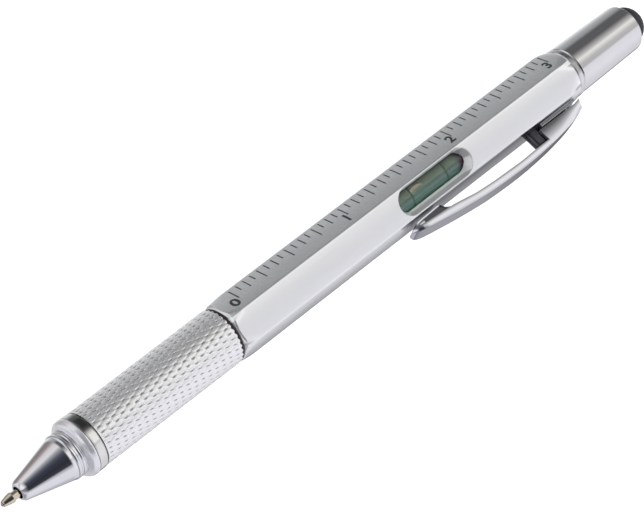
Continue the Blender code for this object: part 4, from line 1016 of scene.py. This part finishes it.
# The clip is drawn upright on its flat. Tables: (share of its length, share of its height or width).
CLIP_LENGTH, CLIP_HEIGHT, CLIP_WIDTH, CLIP_REAR, CLIP_HINGE = 43.2, 4.45, 3.8, 76.6, 74.6
CLIP_START = CLIP_REAR - CLIP_LENGTH
OUTER = (
    (0.010, 0.33), (0.022, 0.41), (0.055, 0.50), (0.108, 0.588), (0.161, 0.667), (0.214, 0.746),
    (0.27, 0.816), (0.323, 0.874), (0.378, 0.928), (0.433, 0.962), (0.488, 0.984), (0.546, 0.998),
    (0.601, 1.0), (0.659, 0.987), (0.719, 0.957), (0.776, 0.915), (0.836, 0.853), (0.896, 0.77),
    (0.949, 0.66), (1.0, 0.52),
)
ARM_INNER = (
    (0.010, 0.25), (0.05, 0.315), (0.10, 0.355), (0.16, 0.40), (0.219, 0.445), (0.274, 0.53),
    (0.327, 0.615), (0.383, 0.663), (0.438, 0.698), (0.493, 0.715), (0.551, 0.735), (0.606, 0.742),
    (0.666, 0.722), (0.765, 0.72),
)
PLAN = (
    (0.010, 0.46), (0.018, 0.66), (0.035, 0.84), (0.06, 0.93), (0.12, 0.98), (0.35, 1.0),
    (0.55, 0.98), (0.66, 0.93), (0.78, 0.86), (0.90, 0.77), (1.0, 0.66),
)
PAD = (
    (0.013, 0.25), (0.022, 0.185), (0.040, 0.138), (0.064, 0.114), (0.104, 0.108), (0.148, 0.092),
    (0.166, 0.098), (0.175, 0.15), (0.181, 0.235), (0.187, 0.33), (0.205, 0.42),
)


def clip_height(table, share):
    """Height of one of the clip's curves over the pen's axis."""
    return HALF_FLAT + curve_value(table, share) * CLIP_HEIGHT


def clip_section(x, foot, half, low, top, drop=0.0):
    """Section of the clip: its sides bulge and lean in towards the outer face, less so where it is tall."""
    steps = 9
    tall = limited((top - low - 1.6) / 1.2)
    flare, lean = 4.0 + 7.0 * tall, 34.0 - 18.0 * tall
    low -= drop
    wide = [0.0]
    for step in range(steps):
        tilt = math.radians(flare - (flare + lean) * (step + 0.5) / steps)
        wide.append(wide[-1] + math.tan(tilt) * (top - low) / steps)
    middle = (max(wide) + wide[-1]) / 2
    side = [(half + y - middle, low + (top - low) * k / steps) for k, y in enumerate(wide)]
    whole = side + [(-y, z) for y, z in reversed(side)]
    return [(foot + (x - foot) * (z - low) / (top - low), y, z) for y, z in whole]


def clip_sections():
    """Sections along the clip: the arm down to its inner curve, then the head down to its seat."""
    head = round(1.0 - 10.2 / CLIP_LENGTH, 4)
    base, closest, foot_back, apart = HALF_FLAT + 0.92, 0.0035, 0.6, 0.03
    tail, tail_drop = 0.972, 0.30
    first = OUTER[0][0]
    stations = [point.x for table in (OUTER, ARM_INNER) for point in smooth_line(table, 3)
                if first <= point.x <= 1.0]
    kept = [first]
    for share in sorted({round(x, 4) for x in stations + [head]}):
        if share - kept[-1] > closest or share in (head, 1.0):
            kept.append(share)
    sections = []
    for share in kept:
        x = CLIP_START + share * CLIP_LENGTH
        half = curve_value(PLAN, share) * CLIP_WIDTH / 2
        top = clip_height(OUTER, share)
        if share <= head:
            sections.append(clip_section(x, x, half, clip_height(ARM_INNER, share), top))
        if share >= head:
            x += apart if share == head else 0.0
            foot = x + foot_back * (share - head) / (1 - head)
            drop = tail_drop * limited((share - tail) / (1 - tail))
            sections.append(clip_section(x, foot, half, base, top, drop))
    return sections


def clip_channel():
    """Outline of the hollow inside the clip's head."""
    sheet, roof, bottom = 0.9, 0.72 * CLIP_HEIGHT, HALF_FLAT - 0.5
    front, slope, rear = (CLIP_REAR - back for back in (11.2, 10.0, 0.6))
    below = [(CLIP_START + share * CLIP_LENGTH, height * CLIP_HEIGHT - sheet) for share, height in OUTER
             if share > 0.82 and height * CLIP_HEIGHT - sheet < roof]
    last = HALF_FLAT + below[-1][1]
    return ([(front, bottom), (front, HALF_FLAT + roof), (slope, HALF_FLAT + roof)]
            + [(x, HALF_FLAT + z) for x, z in below[:-1]] + [(rear, last), (rear, bottom)])


def build_clip():
    """Pocket clip: arm and hollow head."""
    shape = loft_solid(clip_sections())
    bmesh.ops.remove_doubles(shape, verts=shape.verts[:], dist=2e-6)
    bmesh.ops.recalc_face_normals(shape, faces=shape.faces[:])
    piece = add_object(shape, "clip_shell", 30.0)
    cut(piece, add_object(prism(clip_channel(), 1.0), "channel"))
    soften(piece, 0.14, 3, 32.0)
    piece.data.transform(ON_CLIP_FLAT)
    finish(piece, "clip", "clip", "clip_chrome", "pocket_clip")

    def faces_out(face):
        high = (face.center - AXIS).dot(CLIP_OUT) > (HALF_FLAT + 1.3) * MM
        return high and face.normal.dot(CLIP_OUT) > 0.80

    # Faces that turn outwards get the darker copy of the plating: painted shade.
    second_finish(piece, "clip_outer_painted_shade", faces_out)


def build_clip_pad():
    """Pad under the clip's tip: bright rim, dished cheek and shaded hollow."""
    rim_high, inset, lip, cheek_end = 0.17, 0.30, 0.1, 0.075
    sides = [(1, k / 6) for k in range(7)] + [(-1, k / 6) for k in range(6, -1, -1)]
    rim, cheek, core = [], [], []
    for point in smooth_line(PAD):
        x = CLIP_START + point.x * CLIP_LENGTH
        half = curve_value(PLAN, point.x) * CLIP_WIDTH / 2
        low = HALF_FLAT + point.y * CLIP_HEIGHT
        high = max(clip_height(ARM_INNER, point.x) + lip, low + 2 * lip)
        rim.append([(x, side * half, z) for side, z in
                    ((-1, low), (1, low), (0.96, low + rim_high), (-0.96, low + rim_high))])
        core.append([(x, side * (half - inset), z) for side, z in
                     ((-1, low + lip), (1, low + lip), (1, high), (-1, high))])
        if point.x < cheek_end:
            bulge = 0.10 + 0.30 * math.sin(math.pi * min(1.0, (point.x - OUTER[0][0]) / cheek_end))
            cheek.append([(x, side * (half - bulge * (1 - math.sin(math.pi * part))),
                           low + (high - low) * part) for side, part in sides])
    for name, sections, angle, look in (
        ("clip_pad_rim", rim, 35.0, "clip"), ("clip_pad_cheek", cheek, 50.0, "nose"),
        ("clip_pad_hollow", core, 35.0, "hollow"),
    ):
        piece = add_object(loft_solid(sections), name, angle)
        piece.data.transform(ON_CLIP_FLAT)
        finish(piece, look, "clip", "clip_chrome")


# Ridged side of the seat: (height over the flat, half width). Block: (inset, height over the flat).
SEAT_SIDE = (
    (0.05, 1.74), (0.16, 1.80), (0.20, 1.80), (0.27, 1.72), (0.33, 1.72), (0.38, 1.80),
    (0.46, 1.80), (0.51, 1.72), (0.57, 1.72), (0.62, 1.80), (0.70, 1.76),
)
BLOCK = ((0.0, 0.05), (0.0, 2.60), (0.06, 2.74), (0.16, 2.84), (0.30, 2.90))


def build_clip_seat():
    """Ridged seat plate with its lug, and the round-ended block in front of it."""
    front, rear, rear_height = 67.2, 76.2, 0.72
    ring = [(half, z) for z, half in SEAT_SIDE] + [(-half, z) for z, half in reversed(SEAT_SIDE)]
    shape = loft_solid([[(x, y, HALF_FLAT + z * share) for y, z in ring]
                        for x, share in ((front, 1.0), (CLIP_HINGE, 1.0), (rear, rear_height))])
    seat = add_object(shape, "clip_seat_plate", 25.0)
    eye_up, eye_radius, hole_radius = HALF_FLAT + 1.1, 0.7, 0.4 * MM
    lug_half, lug_low = 0.9, HALF_FLAT + 0.4
    angles = [math.pi * step / 16 for step in range(17)]
    lug = [(CLIP_HINGE + eye_radius * math.cos(angle), eye_up + eye_radius * math.sin(angle))
           for angle in angles]
    lug += [(CLIP_HINGE - eye_radius, lug_low), (CLIP_HINGE + eye_radius, lug_low)]
    cut(seat, add_object(prism(lug, lug_half), "lug"), "UNION")
    hole = bmesh.new()
    bmesh.ops.create_cone(hole, cap_ends=True, segments=32, radius1=hole_radius, radius2=hole_radius,
                          depth=4 * MM)
    move(hole, Matrix.Translation((CLIP_HINGE * MM, 0, eye_up * MM)) @ Matrix.Rotation(math.pi / 2, 4, "X"))
    cut(seat, add_object(hole, "hole"))
    shade(seat.data, 30.0)
    seat.data.transform(ON_CLIP_FLAT)
    finish(seat, "seat", "barrel", "seat_grey", "clip_seat")
    block_long, block_wide, block_rear = 2.9, 1.7, 67.1
    centre = block_rear - block_long / 2
    shape = loft_solid([
        slot_loop(centre, block_long - 2 * inset, block_wide - 2 * inset, HALF_FLAT + height, 14)
        for inset, height in BLOCK])
    block = add_object(shape, "clip_stop_block", 40.0)
    block.data.transform(ON_CLIP_FLAT)
    finish(block, "boss", "barrel", "boss_dark", "clip_boss")


def build_rear():
    """Bright ring, cap and rubber dome."""
    low, high = span("holder_ring")
    inner, outer, slope = 3.40, 4.80, 0.14
    outline = [(low, inner), (low, 4.68), (low + slope, outer), (high - slope, outer),
               (high, 4.62), (high, inner)]
    round_piece("rear_ring", outline, "ring", "barrel", "ring_chrome", ["holder_ring"], 160, 0.06)
    front, rear = span("cap_shell")
    bore, lip = 3.84, 3.75
    outline = [(front, bore), (front, 4.46), (front + 0.10, 4.60), (front + 0.30, 4.69),
               (rear - 0.50, 4.445), (rear - 0.18, 4.38), (rear, 4.22), (rear, lip), (rear - 2.4, lip),
               (rear - 2.4, bore)]
    round_piece("cap_tube", outline, "cap", "cap", "cap_chrome", ["cap_shell"], 160, 0.15)
    radius, hollow, root = 3.7, 3.0, rear - 2.2

    def arc(size, parts, steps):
        angles = [k * math.pi / parts for k in steps]
        return [(rear + size * math.sin(angle), size * math.cos(angle)) for angle in angles]

    outline = [(rear + hollow, 0.0)] + arc(hollow, 16, range(7, -1, -1))
    outline += [(root, hollow), (root, radius), (rear - 0.02, radius)] + arc(radius, 32, range(16))
    outline += [(rear + radius, 0.0)]
    round_piece("dome", outline, "dome", "cap", "dome_rubber", ["stylus_tip"], 96, 0.03, closed=False)


# Stage


PHOTO_WIDTH = 644.0
SENSOR = 36.0
CAMERA_EYE = (-186.014, 92.842, 346.699)
CAMERA_TURN, CAMERA_TILT, CAMERA_ROLL = 14.983, 29.68, -37.506
CAMERA_PIXELS = 2522.39


def build_camera():
    """Camera at the photograph's viewing angle: turned about the pen, tilted and rolled."""
    turn, tilt, roll = (math.radians(angle) for angle in (CAMERA_TURN, CAMERA_TILT, CAMERA_ROLL))
    along = Vector((1.0, 0.0, 0.0))
    back = Vector((0.0, math.sin(turn), math.cos(turn))) * math.cos(tilt) - along * math.sin(tilt)
    one = (along - back * back.x).normalized()
    right = one * math.cos(roll) - one.cross(back) * math.sin(roll)
    data = bpy.data.cameras.new("camera")
    data.sensor_width = SENSOR
    data.sensor_fit = "HORIZONTAL"
    data.lens = CAMERA_PIXELS * SENSOR / PHOTO_WIDTH
    data.shift_x = -0.5 / PHOTO_WIDTH
    data.shift_y = 0.5 / PHOTO_WIDTH
    data.clip_start = 0.01
    data.clip_end = 20.0
    camera = bpy.data.objects.new("camera", data)
    axes = Matrix((right, back.cross(right), back)).transposed().to_4x4()
    camera.matrix_world = Matrix.Translation(Vector(CAMERA_EYE) * MM + AXIS) @ axes
    bpy.context.scene.collection.objects.link(camera)
    bpy.context.scene.camera = camera


# Tones of the surroundings round the pen: (degrees from the top towards +Y, red, green, blue).
BEHIND = (
    (-180, 0.84, 0.86, 0.90), (-162, 0.55, 0.56, 0.58), (-146, 0.17, 0.175, 0.185),
    (-138, 0.29, 0.295, 0.31), (-134, 0.46, 0.465, 0.48), (-129, 0.73, 0.73, 0.76),
    (-104, 0.74, 0.74, 0.78), (-60, 0.88, 0.87, 0.92),
    (-24, 0.82, 0.82, 0.87), (-17, 0.67, 0.67, 0.70), (-12, 0.70, 0.70, 0.71), (-7, 0.97, 0.965, 0.96),
    (22, 0.94, 0.93, 0.90), (34, 0.56, 0.55, 0.53), (46, 0.34, 0.335, 0.33), (60, 0.115, 0.115, 0.115),
    (76, 0.12, 0.12, 0.125), (96, 0.11, 0.118, 0.12), (111, 0.33, 0.345, 0.35), (138, 0.47, 0.485, 0.49),
    (162, 0.80, 0.82, 0.84), (180, 0.84, 0.86, 0.90),
)
BESIDE = (
    (-180, 0.62, 0.62, 0.64), (-120, 0.50, 0.50, 0.53), (-95, 0.78, 0.78, 0.84), (-55, 0.80, 0.80, 0.85),
    (-38, 0.42, 0.42, 0.46), (-31, 0.045, 0.05, 0.06), (-8, 0.03, 0.032, 0.042), (20, 0.045, 0.05, 0.07),
    (38, 0.10, 0.11, 0.14), (56, 0.34, 0.35, 0.37), (74, 0.78, 0.78, 0.80), (98, 0.70, 0.68, 0.68),
    (116, 0.36, 0.30, 0.29), (140, 0.22, 0.20, 0.19), (180, 0.62, 0.62, 0.64),
)
AHEAD = (
    (-180, 0.55, 0.55, 0.58), (-120, 0.30, 0.30, 0.32), (-75, 0.34, 0.34, 0.38), (-45, 0.70, 0.70, 0.76),
    (-25, 0.30, 0.28, 0.33), (2, 0.20, 0.19, 0.22), (14, 0.88, 0.88, 0.86), (55, 0.95, 0.95, 0.95),
    (78, 0.45, 0.46, 0.52), (100, 0.80, 0.80, 0.88), (140, 0.80, 0.80, 0.86), (180, 0.55, 0.55, 0.58),
)


def world_light():
    """Soft studio surroundings: white walls with dark cards, other ones behind, beside and ahead."""
    world = bpy.data.worlds.new("studio")
    world.use_nodes = True
    tree = world.node_tree
    way = node(tree, "TexCoord", "Generated", {})
    x = parts_of(tree, way)[0]
    share = turn_share(tree, way)
    behind, beside, ahead = (round_tones(tree, share, table) for table in (BEHIND, BESIDE, AHEAD))
    front = blend(tree, spread(tree, x, 1.0, 0.0, -0.55, -0.32), beside, ahead)
    colour = blend(tree, spread(tree, x, 0.0, 1.0, 0.20, 0.34), front, behind)
    feed(tree, tree.nodes["Background"], {"Color": colour, "Strength": 1.0})
    bpy.context.scene.world = world


def build_stage():
    """Pale floor, pale backdrop, soft overhead light, the surroundings and the camera."""
    below, floor_half, dome_radius = 0.02 * MM, 1.5, 4.0
    white = (1.0, 1.0, 1.0, 1.0)
    shape = bmesh.new()
    bmesh.ops.create_grid(shape, x_segments=4, y_segments=4, size=floor_half)
    bmesh.ops.translate(shape, vec=(0, 0, CAD_BOX[0][2] - below), verts=shape.verts[:])
    floor = add_object(shape, "floor")
    made, tree, shader = new_material("pale_floor")
    pale = tones(tree, noise(tree, EVEN, 3.0, 2.0), [(0.3, (0.90, 0.90, 0.90)), (0.7, (0.92, 0.92, 0.92))])
    feed(tree, shader, {
        "Base Color": pale, "Roughness": 0.9, "Emission Color": white, "Emission Strength": 0.62,
    })
    floor.data.materials.append(made)
    floor.visible_glossy = False
    shape = bmesh.new()
    bmesh.ops.create_uvsphere(shape, u_segments=48, v_segments=24, radius=dome_radius)
    bmesh.ops.reverse_faces(shape, faces=shape.faces[:])
    dome = add_object(shape, "backdrop")
    made, tree, shader = new_material("pale_backdrop")
    feed(tree, shader, {
        "Base Color": (0.0, 0.0, 0.0, 1.0), "Specular IOR Level": 0.0,
        "Emission Color": white, "Emission Strength": 1.0,
    })
    dome.data.materials.append(made)
    for ray in ("glossy", "diffuse", "transmission", "shadow", "volume_scatter"):
        setattr(dome, "visible_" + ray, False)
    data = bpy.data.lights.new("soft_top", "AREA")
    data.shape = "DISK"
    data.size = 0.9
    data.energy = 4.0
    light = bpy.data.objects.new("soft_top", data)
    light.location = (0.1, 0.1, 0.9)
    light.visible_glossy = False
    light.visible_camera = False
    bpy.context.scene.collection.objects.link(light)
    world_light()
    bpy.context.scene.view_settings.view_transform = "Standard"
    bpy.context.scene.view_settings.look = "None"
    build_camera()


# Operators and panel


class PEN_OT_looks(bpy.types.Operator):
    """Make every finish of the pen"""

    bl_idname = "pen.looks"
    bl_label = "Finishes"

    def execute(self, context):
        build_looks(context.scene.pen_settings)
        dress_inside()
        return {"FINISHED"}


class PEN_OT_barrel(bpy.types.Operator):
    """Build the hexagonal barrel"""

    bl_idname = "pen.barrel"
    bl_label = "Barrel"

    def execute(self, context):
        build_barrel(context.scene.pen_settings)
        return {"FINISHED"}


class PEN_OT_ruler(bpy.types.Operator):
    """Print the ruler on its flat"""

    bl_idname = "pen.ruler"
    bl_label = "Ruler"

    def execute(self, context):
        build_ruler(context.scene.ruler_settings)
        return {"FINISHED"}


class PEN_OT_level(bpy.types.Operator):
    """Build the spirit level"""

    bl_idname = "pen.level"
    bl_label = "Level"

    def execute(self, context):
        build_level()
        return {"FINISHED"}


class PEN_OT_grip(bpy.types.Operator):
    """Build the knurled grip, its band and its dark ring"""

    bl_idname = "pen.grip"
    bl_label = "Grip"

    def execute(self, context):
        build_grip(context.scene.knurl_settings)
        build_grip_rings()
        return {"FINISHED"}


class PEN_OT_nose(bpy.types.Operator):
    """Build the nose, the writing point and its ball"""

    bl_idname = "pen.nose"
    bl_label = "Nose and point"

    def execute(self, context):
        build_nose()
        build_point()
        return {"FINISHED"}


class PEN_OT_clip(bpy.types.Operator):
    """Build the clip, its pad, its seat and its block"""

    bl_idname = "pen.clip"
    bl_label = "Clip"

    def execute(self, context):
        build_clip()
        build_clip_pad()
        build_clip_seat()
        return {"FINISHED"}


class PEN_OT_rear(bpy.types.Operator):
    """Build the rear ring, the cap and the dome"""

    bl_idname = "pen.rear"
    bl_label = "Cap and dome"

    def execute(self, context):
        build_rear()
        return {"FINISHED"}


class PEN_OT_stage(bpy.types.Operator):
    """Set the floor, the light and the camera"""

    bl_idname = "pen.stage"
    bl_label = "Stage"

    def execute(self, context):
        build_stage()
        return {"FINISHED"}


STEPS = (PEN_OT_looks, PEN_OT_barrel, PEN_OT_ruler, PEN_OT_level, PEN_OT_grip, PEN_OT_nose, PEN_OT_clip,
         PEN_OT_rear, PEN_OT_stage)
GROUPS = {"pen_settings": PenSettings, "knurl_settings": KnurlSettings, "ruler_settings": RulerSettings}


class PEN_PT_panel(bpy.types.Panel):
    """Lists the pen's settings and its pieces"""

    bl_idname = "PEN_PT_panel"
    bl_label = "Multi tool pen"
    bl_space_type = "VIEW_3D"
    bl_region_type = "UI"
    bl_category = "Pen"

    def draw(self, context):
        for name, made in GROUPS.items():
            box = self.layout.box()
            for setting in made.__annotations__:
                box.prop(getattr(context.scene, name), setting)
        for step in STEPS:
            self.layout.operator(step.bl_idname)


CLASSES = (*GROUPS.values(), *STEPS, PEN_PT_panel)


def register():
    """Register the classes and hang the settings on the scene."""
    for made in CLASSES:
        bpy.utils.register_class(made)
    for name, made in GROUPS.items():
        setattr(bpy.types.Scene, name, bpy.props.PointerProperty(type=made))


def unregister():
    """Remove the settings and the classes."""
    for name in GROUPS:
        delattr(bpy.types.Scene, name)
    for made in reversed(CLASSES):
        bpy.utils.unregister_class(made)


def main():
    """Build the whole pen."""
    register()
    for step in STEPS:
        group, name = step.bl_idname.split(".")
        getattr(getattr(bpy.ops, group), name)()


if __name__ == "__main__":
    main()
